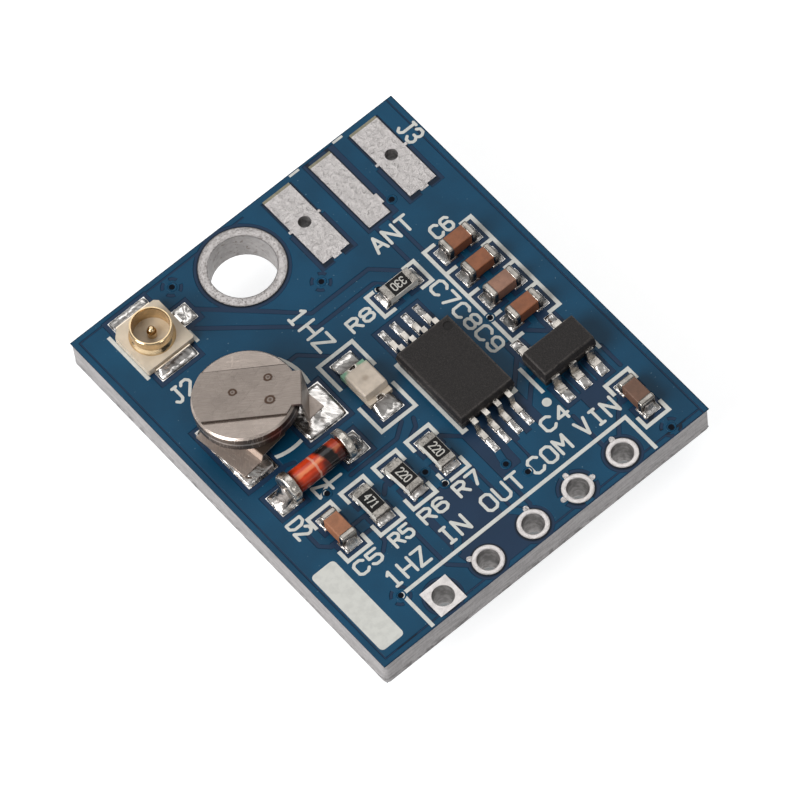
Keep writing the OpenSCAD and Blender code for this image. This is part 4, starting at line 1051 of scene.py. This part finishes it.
class Tree:
    """A Geometry Nodes tree with named inputs."""

    def __init__(self, name, **inputs):
        self.tree = bpy.data.node_groups.new(name, "GeometryNodeTree")
        face = self.tree.interface
        face.new_socket("Geometry", in_out="INPUT", socket_type="NodeSocketGeometry")
        self.sockets = {}
        for label, kind in inputs.items():
            self.sockets[label] = face.new_socket(label.replace("_", " "), in_out="INPUT", socket_type=kind)
        face.new_socket("Geometry", in_out="OUTPUT", socket_type="NodeSocketGeometry")
        self.given = self.tree.nodes.new("NodeGroupInput")
        self.result = self.tree.nodes.new("NodeGroupOutput")

    def input(self, label):
        return self.given.outputs[label.replace("_", " ")]

    def node(self, kind, settings=None, inputs=None):
        made = self.tree.nodes.new(kind)
        for name, value in (settings or {}).items():
            setattr(made, name, value)
        for key, value in (inputs or {}).items():
            if isinstance(value, bpy.types.NodeSocket):
                self.tree.links.new(value, made.inputs[key])
            else:
                made.inputs[key].default_value = value
        return made.outputs[0]

    def ends(self, geometry):
        self.tree.links.new(geometry, self.result.inputs[0])

    def mesh(self, name, points, turns, **values):
        """Plain mesh of the tree's result on these points, each with its turn about Z."""
        base = bpy.data.meshes.new(name)
        base.from_pydata(points, [], [])
        turn = base.attributes.new("turn", "FLOAT_VECTOR", "POINT")
        turn.data.foreach_set("vector", [v for angle in turns for v in (0.0, 0.0, angle)])
        carrier = bpy.data.objects.new(name, base)
        bpy.context.scene.collection.objects.link(carrier)
        modifier = carrier.modifiers.new(name, "NODES")
        modifier.node_group = self.tree
        for label, value in values.items():
            modifier[self.sockets[label].identifier] = value
        seen = carrier.evaluated_get(bpy.context.evaluated_depsgraph_get())
        result = bpy.data.meshes.new_from_object(seen)
        carrier.modifiers.remove(modifier)
        bpy.data.objects.remove(carrier)
        bpy.data.meshes.remove(base)
        return result


def via_tree():
    """A low ring of mask and a dark disc of painted shade in place of the hole, at every point."""
    tree = Tree("via", Ring="NodeSocketFloat", Hole="NodeSocketFloat", Lip="NodeSocketFloat",
                Depth="NodeSocketFloat", Mask="NodeSocketMaterial", Shadow="NodeSocketMaterial")
    path, section = [tree.node("GeometryNodeCurvePrimitiveCircle", None, {
        "Resolution": sides, "Radius": tree.input(label)}) for sides, label in ((24, "Ring"), (8, "Lip"))]
    ring = tree.node("GeometryNodeCurveToMesh", None, {"Curve": path, "Profile Curve": section})
    hole = tree.node("GeometryNodeMeshCylinder", {"fill_type": "NGON"}, {
        "Vertices": 18, "Radius": tree.input("Hole"), "Depth": tree.input("Depth")})
    rings = tree.node("GeometryNodeInstanceOnPoints", None, {
        "Points": tree.input("Geometry"), "Instance": ring, "Scale": (1.0, 1.0, 0.5)})
    holes = tree.node("GeometryNodeInstanceOnPoints", None, {
        "Points": tree.input("Geometry"), "Instance": hole})
    parts = []
    for some, label in ((rings, "Mask"), (holes, "Shadow")):
        solid = tree.node("GeometryNodeRealizeInstances", None, {0: some})
        parts.append(tree.node("GeometryNodeSetMaterial", None, {
            "Geometry": solid, "Material": tree.input(label)}))
    both = tree.node("GeometryNodeJoinGeometry", None, {0: parts[0]})
    tree.tree.links.new(parts[1], both.node.inputs[0])
    tree.ends(both)
    return tree


def contact_tree():
    """A half-round metal lining, upright, at every point and turned by the point's own value."""
    tree = Tree("edge_contact", Radius="NodeSocketFloat", Sheet="NodeSocketFloat", Height="NodeSocketFloat",
                Metal="NodeSocketMaterial")
    path = tree.node("GeometryNodeCurveArc", {"mode": "RADIUS"}, {
        "Resolution": 12, "Radius": tree.input("Radius"), "Start Angle": math.pi, "Sweep Angle": math.pi})
    section = tree.node("GeometryNodeCurvePrimitiveQuadrilateral", {"mode": "RECTANGLE"}, {
        "Width": tree.input("Sheet"), "Height": tree.input("Height")})
    lining = tree.node("GeometryNodeCurveToMesh", None, {
        "Curve": path, "Profile Curve": section, "Fill Caps": True})
    turn = tree.node("GeometryNodeInputNamedAttribute", {"data_type": "FLOAT_VECTOR"}, {"Name": "turn"})
    angle = tree.node("FunctionNodeEulerToRotation", None, {0: turn})
    spread = tree.node("GeometryNodeInstanceOnPoints", None, {
        "Points": tree.input("Geometry"), "Instance": lining, "Rotation": angle})
    solid = tree.node("GeometryNodeRealizeInstances", None, {0: spread})
    tree.ends(tree.node("GeometryNodeSetMaterial", None, {
        "Geometry": solid, "Material": tree.input("Metal")}))
    return tree


def fillet_mesh(work, points, sign, number):
    """Smooth concave solder in place of one wedge: it climbs the upright face and thins out on the pad."""
    peak = max(sign * p.z for p in points)
    ridge = [p for p in points if sign * p.z > peak - 1e-6]
    left, right = max(((a, b) for a in ridge for b in ridge), key=lambda pair: (pair[0] - pair[1]).length)
    across = (right - left).to_3d()
    width = across.length
    across.normalize()
    middle = (left + right) / 2
    out = Vector((-across.y, across.x, 0.0))
    far = max(points, key=lambda p: abs((p - middle).dot(out)))
    if (far - middle).dot(out) < 0:
        out = -out
    reach = (far - middle).dot(out)
    base = min(sign * p.z for p in points)
    rise = peak - base
    rows, columns = 10, 12
    grid = []
    for i in range(rows + 1):
        u = i / rows
        line = []
        for j in range(columns + 1):
            v = 2 * j / columns - 1
            lump = 1 + 0.1 * math.sin(3.1 * u + 2.3 * v + number)
            lump += 0.06 * math.sin(7 * v - 5 * u + 1.7 * number)
            shoulder = (1 - abs(v) ** 3) ** 0.45
            height = rise * min(1.0, (1 - u) ** 2.3 * lump + 0.16 * math.sin(math.pi * u)) * shoulder
            spread = reach * u * (1 - 0.14 * v * v)
            spot = middle + across * (v * width / 2) + out * spread
            line.append(Vector((spot.x, spot.y, sign * (base + max(0.0, height)))))
        grid.append(line)
    floor = [[Vector((p.x, p.y, sign * base)) for p in line] for line in grid]
    tops = [[work.verts.new(p) for p in line] for line in grid]
    lows = [[work.verts.new(p) for p in line] for line in floor]
    for i in range(rows):
        for j in range(columns):
            work.faces.new((tops[i][j], tops[i + 1][j], tops[i + 1][j + 1], tops[i][j + 1]))
            work.faces.new((lows[i][j], lows[i][j + 1], lows[i + 1][j + 1], lows[i + 1][j]))
    for j in range(columns):
        work.faces.new((tops[0][j], tops[0][j + 1], lows[0][j + 1], lows[0][j]))
    back = [p for p in points if (p - middle).dot(out) < -5e-5]
    if back:
        depth = max(-(p - middle).dot(out) for p in back)
        head = max(sign * p.z for p in back)
        rim = [middle - out * (depth * math.sin(a)) + across * (depth * math.cos(a))
               for a in [math.pi * i / 10 for i in range(11)]]
        uppers = [work.verts.new((p.x, p.y, sign * (head - 0.15 * rise))) for p in rim]
        unders = [work.verts.new((p.x, p.y, sign * base)) for p in rim]
        crown = work.verts.new((middle.x, middle.y, sign * head))
        for i in range(11):
            n = (i + 1) % 11
            work.faces.new((uppers[i], uppers[n], crown))
            work.faces.new((uppers[n], uppers[i], unders[i], unders[n]))
        work.faces.new(unders)


def solder_mesh(name, node, sign):
    work = bmesh.new()
    for number, points in enumerate(islands(node)):
        fillet_mesh(work, points, sign, number)
    bmesh.ops.remove_doubles(work, verts=work.verts, dist=2e-8)
    bmesh.ops.dissolve_degenerate(work, edges=work.edges, dist=1e-8)
    bmesh.ops.recalc_face_normals(work, faces=work.faces)
    for face in work.faces:
        face.smooth = abs(face.normal.z) > 0.02
    mesh = bpy.data.meshes.new(name)
    work.to_mesh(mesh)
    work.free()
    return mesh


def puddle_mesh(name, node, inset):
    """Low wrinkled mounds of solder, one on every pad of a node."""
    work = bmesh.new()
    steps = 14
    for number, points in enumerate(islands(node)):
        low, high = box_of(points)
        middle, half = (low + high) / 2, (high - low) / 2 - Vector((inset, inset, 0.0))
        crest = min(0.07 * MM, 0.025 * MM + 0.09 * min(half.x, half.y))
        grid = []
        for i in range(steps + 1):
            line = []
            for j in range(steps + 1):
                u, v = 2 * i / steps - 1, 2 * j / steps - 1
                turn = math.atan2(v * half.y, u * half.x)
                fold = 1 + 0.3 * math.sin(5 * turn + number) + 0.15 * math.sin(9 * u - 7 * v + 2.3 * number)
                height = crest * fold * ((1 - u ** 4) * (1 - v ** 4)) ** 0.6
                round_off = 1 - 0.06 * (u * v) ** 4
                x, y = middle.x + half.x * u * round_off, middle.y + half.y * v * round_off
                line.append(work.verts.new((x, y, high.z + max(0.0, height))))
            grid.append(line)
        for i in range(steps):
            for j in range(steps):
                face = work.faces.new((grid[i][j], grid[i + 1][j], grid[i + 1][j + 1], grid[i][j + 1]))
                face.smooth = True
        rim = [grid[i][0] for i in range(steps)] + [grid[steps][j] for j in range(steps)]
        rim += [grid[i][steps] for i in range(steps, 0, -1)] + [grid[0][j] for j in range(steps, 0, -1)]
        work.faces.new(list(reversed(rim)))
    mesh = bpy.data.meshes.new(name)
    work.to_mesh(mesh)
    work.free()
    return mesh


def rounded(node, radius, slot, finish):
    """Puts a copy with rounded edges in a node's place."""
    work = merged(node)
    bmesh.ops.dissolve_limit(work, angle_limit=math.radians(1), verts=work.verts, edges=work.edges)
    sharp = [e for e in work.edges if len(e.link_faces) == 2 and e.calc_face_angle() > math.radians(25)]
    made = bmesh.ops.bevel(work, geom=sharp, offset=radius, offset_type="OFFSET", segments=3, profile=0.5,
                           affect="EDGES", clamp_overlap=True)
    for face in made["faces"]:
        face.smooth = True
    mesh = bpy.data.meshes.new(node + "_rounded")
    work.to_mesh(mesh)
    work.free()
    piece(node + "_rounded", mesh, slot, finish, replaces=(node,))


def block(name, low, high, radius=0.0):
    """Mesh of a block between two corners, with rounded edges where a radius is given."""
    work = bmesh.new()
    place = Matrix.Translation((low + high) / 2) @ Matrix.Diagonal((*(high - low), 1.0))
    bmesh.ops.create_cube(work, size=1.0, matrix=place)
    if radius:
        made = bmesh.ops.bevel(work, geom=work.edges[:], offset=radius, offset_type="OFFSET", segments=4,
                               profile=0.5, affect="EDGES", clamp_overlap=True)
        for face in made["faces"]:
            face.smooth = True
    mesh = bpy.data.meshes.new(name)
    work.to_mesh(mesh)
    work.free()
    return mesh


def rounded_cups(node, core, radius, slot, finish):
    """Puts cups with rounded edges, open where a core fits in, in a node's place."""
    cutter = bpy.data.objects.new("core", block("core", *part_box(core)))
    bpy.context.scene.collection.objects.link(cutter)
    meshes = []
    for points in islands(node):
        cup = bpy.data.objects.new("cup", block("cup", *box_of(points), radius))
        bpy.context.scene.collection.objects.link(cup)
        cut = cup.modifiers.new("core", "BOOLEAN")
        cut.operation, cut.solver, cut.object = "DIFFERENCE", "EXACT", cutter
        seen = cup.evaluated_get(bpy.context.evaluated_depsgraph_get())
        meshes.append(bpy.data.meshes.new_from_object(seen))
        bpy.data.meshes.remove(cup.data)
    bpy.data.meshes.remove(cutter.data)
    piece(node + "_rounded", joined(node + "_rounded", meshes), slot, finish, replaces=(node,))


def soft_light(name, place, target, size, power):
    lamp = bpy.data.lights.new(name, "AREA")
    lamp.shape = "DISK"
    lamp.size = size
    lamp.energy = power
    made = bpy.data.objects.new(name, lamp)
    made.location = place
    made.rotation_euler = (Vector(target) - Vector(place)).to_track_quat("-Z", "Y").to_euler()
    bpy.context.scene.collection.objects.link(made)


class BOARD_OT_stage(bpy.types.Operator):
    """Adds the camera, the soft lights and the pale floor"""
    bl_idname = "board.stage"
    bl_label = "Stage"

    def execute(self, context):
        stage = context.scene.stage_look
        scene = context.scene
        camera = bpy.data.objects.new("camera", bpy.data.cameras.new("camera"))
        camera.data.sensor_width = 36.0
        camera.data.lens = stage.lens
        camera.data.clip_start = 0.01
        camera.location = stage.camera_at
        camera.rotation_euler = stage.camera_turn
        scene.collection.objects.link(camera)
        scene.camera = camera
        scene.view_settings.view_transform = "Standard"
        middle = (CAD_BOX[0] + CAD_BOX[1]) / 2
        for name, place, size, power in LIGHTS:
            soft_light(name, place, middle, size, getattr(stage, power))
        world = bpy.data.worlds.new("room")
        world.use_nodes = True
        world.node_tree.nodes["Background"].inputs["Color"].default_value = (1.0, 1.0, 1.0, 1.0)
        world.node_tree.nodes["Background"].inputs["Strength"].default_value = stage.room
        scene.world = world
        sheet = bpy.data.meshes.new("floor")
        half = 0.8
        corners = [(-half, -half, 0), (half, -half, 0), (half, half, 0), (-half, half, 0)]
        sheet.from_pydata(corners, [], [(0, 1, 2, 3)])
        sheet.materials.append(floor_finish(stage))
        floor = bpy.data.objects.new("floor", sheet)
        scene.collection.objects.link(floor)
        return {"FINISHED"}


class BOARD_OT_mask(bpy.types.Operator):
    """Finishes the laminate and lays the masked copper on both faces, with its vias"""
    bl_idname = "board.mask"
    bl_label = "Board and mask"

    def execute(self, context):
        board = context.scene.board_look
        dress(board_finish(board, context.scene.metal_look), "circuit_board")
        mask = mask_finish(board)
        top, under, sink = BOARD_HIGH.z, BOARD_LOW.z, 0.004 * MM
        header = [from_corner(p) for p in hole_places("header_hole_rings")]
        drilled = ("edge_pads", "header_hole_rings", "mounting_hole_rings")
        upper = copper_mask("upper_mask", ("component_pads", *drilled), top - sink, top + board.rise, board,
                            BARE_LINES, BARE_FIELDS, TRACKS, [header[RELIEF_PAD]])
        piece("upper_mask", upper, "board_blue", mask)
        lower = copper_mask("lower_mask", ("receiver_pads", *drilled), under - board.rise, under + sink, board)
        piece("lower_mask", lower, "board_blue", mask)
        spots = RELIEF_VIAS + PLAIN_VIAS
        points = [(BOARD_LOW.x + x * MM, BOARD_LOW.y + y * MM, top + board.rise) for x, y in spots]
        vias = via_tree().mesh("vias", points, [0.0] * len(points), Ring=board.via_ring, Hole=board.via_hole,
                               Lip=0.04 * MM, Depth=0.02 * MM, Mask=mask, Shadow=via_shade_finish())
        piece("vias", vias, "board_blue")
        return {"FINISHED"}


class BOARD_OT_pads(bpy.types.Operator):
    """Finishes the tinned pads and rings, and adds the short tinned ends of the header's tracks"""
    bl_idname = "board.pads"
    bl_label = "Tinned pads"

    def execute(self, context):
        metal = context.scene.metal_look
        tin = tin_finish("pad_tin", metal, end=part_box("edge_pads")[1].y / MM)
        dress(tin, "edge_pads", "receiver_pads")
        low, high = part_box("mounting_hole_rings")
        radius = (high.y - low.y) / MM / 2
        ring = (from_mounting_hole, MOUNT_BORE, radius, 0.045, low.x / MM - 1)
        dress(tin_finish("mounting_ring_tin", metal, 0.92, ring, specks=0.36), "mounting_hole_rings")
        low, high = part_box("header_hole_rings")
        header = [from_corner(p) for p in hole_places("header_hole_rings")]
        radius = (high.y - low.y) / MM / 2
        ring = (from_header_hole, HEADER_BORE, radius, 0.05, low.x / MM + 1.5)
        dress(tin_finish("header_ring_tin", metal, 1.15, ring), "header_hole_rings")
        stubs = Area()
        inner, outer = radius - 0.06, radius + 0.1
        for number, turns in STUB_TURNS.items():
            for turn in turns:
                stubs.stroke([arc(header[number], r, turn, turn, 1)[0] for r in (inner, outer)], STUB_W)
        rings = Area()
        for place in header:
            rings.disc(place, radius)
        mesh = plate("header_stubs", [stubs, rings], lambda p: stubs.holds(p) & ~rings.holds(p),
                     BOARD_HIGH.z, PAD_TOP - 0.004 * MM)
        piece("header_stubs", mesh, "tin", tin)
        return {"FINISHED"}


class BOARD_OT_print(bpy.types.Operator):
    """Finishes the printed outlines and adds the generic lettering, a blank field and the diode's sign"""
    bl_idname = "board.print"
    bl_label = "Print"

    def execute(self, context):
        look = context.scene.print_look
        ink = ink_finish("ink_white", look.ink)
        dress(ink, "outline_print")
        low, high = BOARD_HIGH.z, INK_TOP
        width = look.stroke / MM
        words = [word_plate("word", written(word, box, count, turn, width), width, low, high)
                 for word, box, count, turn in LABELS]
        piece("lettering", joined("lettering", words), "ink_white", ink)
        field = Area()
        corners = [arc(middle, FIELD_ROUND, turn, turn + 90, 4) for middle, turn in FIELD_CORNERS]
        field.field(*[point for corner in corners for point in corner])
        piece("blank_field", plate("blank_field", [field], field.holds, low, high), "ink_white", ink)
        sign = Area()
        for stroke in DIODE_SIGN:
            sign.stroke(stroke, width)
        piece("diode_sign", plate("diode_sign", [sign], sign.holds, low, high), "ink_white", ink)
        return {"FINISHED"}


class BOARD_OT_socket(bpy.types.Operator):
    """Finishes the antenna socket"""
    bl_idname = "board.socket"
    bl_label = "Antenna socket"

    def execute(self, context):
        dress(cream_finish(context.scene.piece_look), "coax_housing")
        dress(gold_finish(context.scene.metal_look), "coax_shell", "coax_contact")
        return {"FINISHED"}


class BOARD_OT_cell(bpy.types.Operator):
    """Finishes the backup cell and its welded tabs"""
    bl_idname = "board.cell"
    bl_label = "Backup cell"

    def execute(self, context):
        metal = context.scene.metal_look
        low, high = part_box("backup_cell")
        x, y = (low.x + high.x) / 2 / MM, (low.y + high.y) / 2 / MM
        welds = [(x + u, y + v) for u, v in WELDS]
        plus = (x + PLUS_SIGN[0], y + PLUS_SIGN[1])
        plane = top_plane("backup_cell")
        dress(steel_finish("cell_steel", metal, UPPER_TAB_TURN, 0.86, plane=plane, plus=plus), "backup_cell")
        edges = strip_edges("cell_top_tab", UPPER_TAB_TURN, 0.7 * MM)
        dress(steel_finish("tab_steel", metal, UPPER_TAB_TURN, 0.66, 0.3, welds, edges), "cell_top_tab")
        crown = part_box("cell_bottom_tab")[1].z / MM
        dress(steel_finish("lower_tab_steel", metal, LOWER_TAB_TURN, 1.05, 0.5, crown=crown), "cell_bottom_tab")
        return {"FINISHED"}


class BOARD_OT_diode(bpy.types.Operator):
    """Finishes the glass diode"""
    bl_idname = "board.diode"
    bl_label = "Diode"

    def execute(self, context):
        dress(glass_finish(context.scene.piece_look), "diode_glass")
        rounded("diode_caps", 0.06 * MM, "terminal_metal", terminal_finish(context.scene.metal_look))
        return {"FINISHED"}


class BOARD_OT_lamp(bpy.types.Operator):
    """Finishes the pulse lamp"""
    bl_idname = "board.lamp"
    bl_label = "Pulse lamp"

    def execute(self, context):
        pieces = context.scene.piece_look
        rounded("lamp_lens", 0.06 * MM, "lamp_resin", lamp_finish("lamp_resin", pieces.resin, pieces, 0.5))
        dress(lamp_finish("lamp_base_pale", pieces.lamp, pieces, 0.0), "lamp_base")
        dress(terminal_finish(context.scene.metal_look), "lamp_terminals")
        return {"FINISHED"}


class BOARD_OT_packages(bpy.types.Operator):
    """Finishes the memory chip and the regulator"""
    bl_idname = "board.packages"
    bl_label = "Moulded packages"

    def execute(self, context):
        pieces = context.scene.piece_look
        for node, radius in (("memory_body", 0.045 * MM), ("regulator_body", 0.05 * MM)):
            rounded(node, radius, "mould_black", mould_finish(node + "_epoxy", pieces, node))
        dress(mould_finish("receiver_epoxy", pieces, "receiver_chip"), "receiver_chip")
        dress(terminal_finish(context.scene.metal_look, "lead_tin", 0.78), "memory_leads", "regulator_leads")
        return {"FINISHED"}


class BOARD_OT_chips(bpy.types.Operator):
    """Finishes the chip resistors and capacitors, and prints the resistors' numbers"""
    bl_idname = "board.chips"
    bl_label = "Resistors and capacitors"

    def execute(self, context):
        pieces, look = context.scene.piece_look, context.scene.print_look
        terminal = terminal_finish(context.scene.metal_look, "resistor_tin", 0.48, 0.055)
        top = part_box("capacitor_1_ends")[1].z / MM
        cup = terminal_finish(context.scene.metal_look, "capacitor_tin", 0.56, 0.02, top)
        core = ceramic_finish("resistor_ceramic", pieces.ceramic, 0.5)
        coat = ceramic_finish("resistor_glaze", pieces.coat, 0.32, 0.2)
        width, ink_t = look.number_stroke / MM, 0.006 * MM
        half_long, half_tall = 0.36, 0.22
        numbers = []
        for i, (number, turn) in enumerate(RESISTOR_NUMBERS, 1):
            dress(core, "resistor_%d_core" % i)
            dress(coat, "resistor_%d_coat" % i)
            rounded("resistor_%d_ends" % i, 0.025 * MM, "terminal_metal", terminal)
            low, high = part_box("resistor_%d_coat" % i)
            x, y = from_corner((low + high) / 2)
            box = (x - half_tall, y - half_long, x + half_tall, y + half_long)
            if turn == 180:
                box = (x - half_long, y - half_tall, x + half_long, y + half_tall)
            strokes = written(number, box, 3, turn, width)
            numbers.append(word_plate("number", strokes, width, high.z, high.z + ink_t))
        ink = ink_finish("number_ink", look.number)
        piece("resistor_numbers", joined("resistor_numbers", numbers), "ink_white", ink)
        tones = ["brown", "brown", "pale", "brown", "tan", "dark"]
        for i, tone in enumerate(tones, 1):
            ceramic = ceramic_finish("capacitor_%d_ceramic" % i, getattr(pieces, tone), 0.36)
            rounded("capacitor_%d_body" % i, 0.04 * MM, "capacitor_" + tone, ceramic)
            rounded_cups("capacitor_%d_ends" % i, "capacitor_%d_body" % i, 0.09 * MM, "terminal_metal", cup)
        return {"FINISHED"}


class BOARD_OT_solder(bpy.types.Operator):
    """Replaces the plain solder wedges with smooth fillets of the same reach and rise, and wets the pads"""
    bl_idname = "board.solder"
    bl_label = "Solder"

    def execute(self, context):
        bright = solder_finish(context.scene.metal_look)
        fillets = (("solder_fillets", "solder_joints", 1), ("receiver_fillets", "receiver_solder", -1))
        for name, node, sign in fillets:
            piece(name, solder_mesh(name, node, sign), "solder", bright, replaces=(node,))
        dress(bright, "component_pads")
        piece("pad_solder", puddle_mesh("pad_solder", "component_pads", 0.008 * MM), "solder", bright)
        return {"FINISHED"}


class BOARD_OT_receiver(bpy.types.Operator):
    """Finishes the receiver below the board and lines its edge contacts"""
    bl_idname = "board.receiver"
    bl_label = "Receiver"

    def execute(self, context):
        metal = context.scene.metal_look
        dress(carrier_finish(context.scene.piece_look), "receiver_carrier")
        dress(can_finish(metal), "receiver_can", "receiver_oscillator", "receiver_filter")
        low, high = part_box("receiver_carrier")
        points, turns = [], []
        for group in islands("receiver_pads"):
            near, far = box_of(group)
            front = near.y < (low.y + high.y) / 2
            points.append(((near.x + far.x) / 2, low.y if front else high.y, (low.z + high.z) / 2))
            turns.append(math.pi if front else 0.0)
        sheet, radius = 0.02 * MM, 0.25 * MM
        linings = contact_tree().mesh(
            "edge_contacts", points, turns, Radius=radius - sheet / 2, Sheet=sheet, Height=high.z - low.z,
            Metal=gold_finish(metal))
        piece("edge_contacts", linings, "gold")
        return {"FINISHED"}


LOOKS = {"board_look": BoardLook, "print_look": PrintLook, "metal_look": MetalLook, "piece_look": PieceLook,
         "stage_look": StageLook}
STEPS = (BOARD_OT_stage, BOARD_OT_mask, BOARD_OT_pads, BOARD_OT_print, BOARD_OT_socket, BOARD_OT_cell,
         BOARD_OT_diode, BOARD_OT_lamp, BOARD_OT_packages, BOARD_OT_chips, BOARD_OT_solder,
         BOARD_OT_receiver)


class BOARD_PT_steps(bpy.types.Panel):
    """Lists the board's pieces and their settings"""
    bl_idname = "BOARD_PT_steps"
    bl_label = "Positioning board"
    bl_space_type = "VIEW_3D"
    bl_region_type = "UI"
    bl_category = "Board"

    def draw(self, context):
        for step in STEPS:
            self.layout.operator(step.bl_idname)
        for name, kind in LOOKS.items():
            column = self.layout.column()
            for prop in kind.__annotations__:
                column.prop(getattr(context.scene, name), prop)


def register():
    for kind in (*LOOKS.values(), *STEPS, BOARD_PT_steps):
        bpy.utils.register_class(kind)
    for name, kind in LOOKS.items():
        setattr(bpy.types.Scene, name, bpy.props.PointerProperty(type=kind))


def unregister():
    for name in LOOKS:
        delattr(bpy.types.Scene, name)
    for kind in reversed((*LOOKS.values(), *STEPS, BOARD_PT_steps)):
        bpy.utils.unregister_class(kind)


def main():
    register()
    for step in STEPS:
        getattr(bpy.ops.board, step.bl_idname.split(".")[1])()


if __name__ == "__main__":
    main()
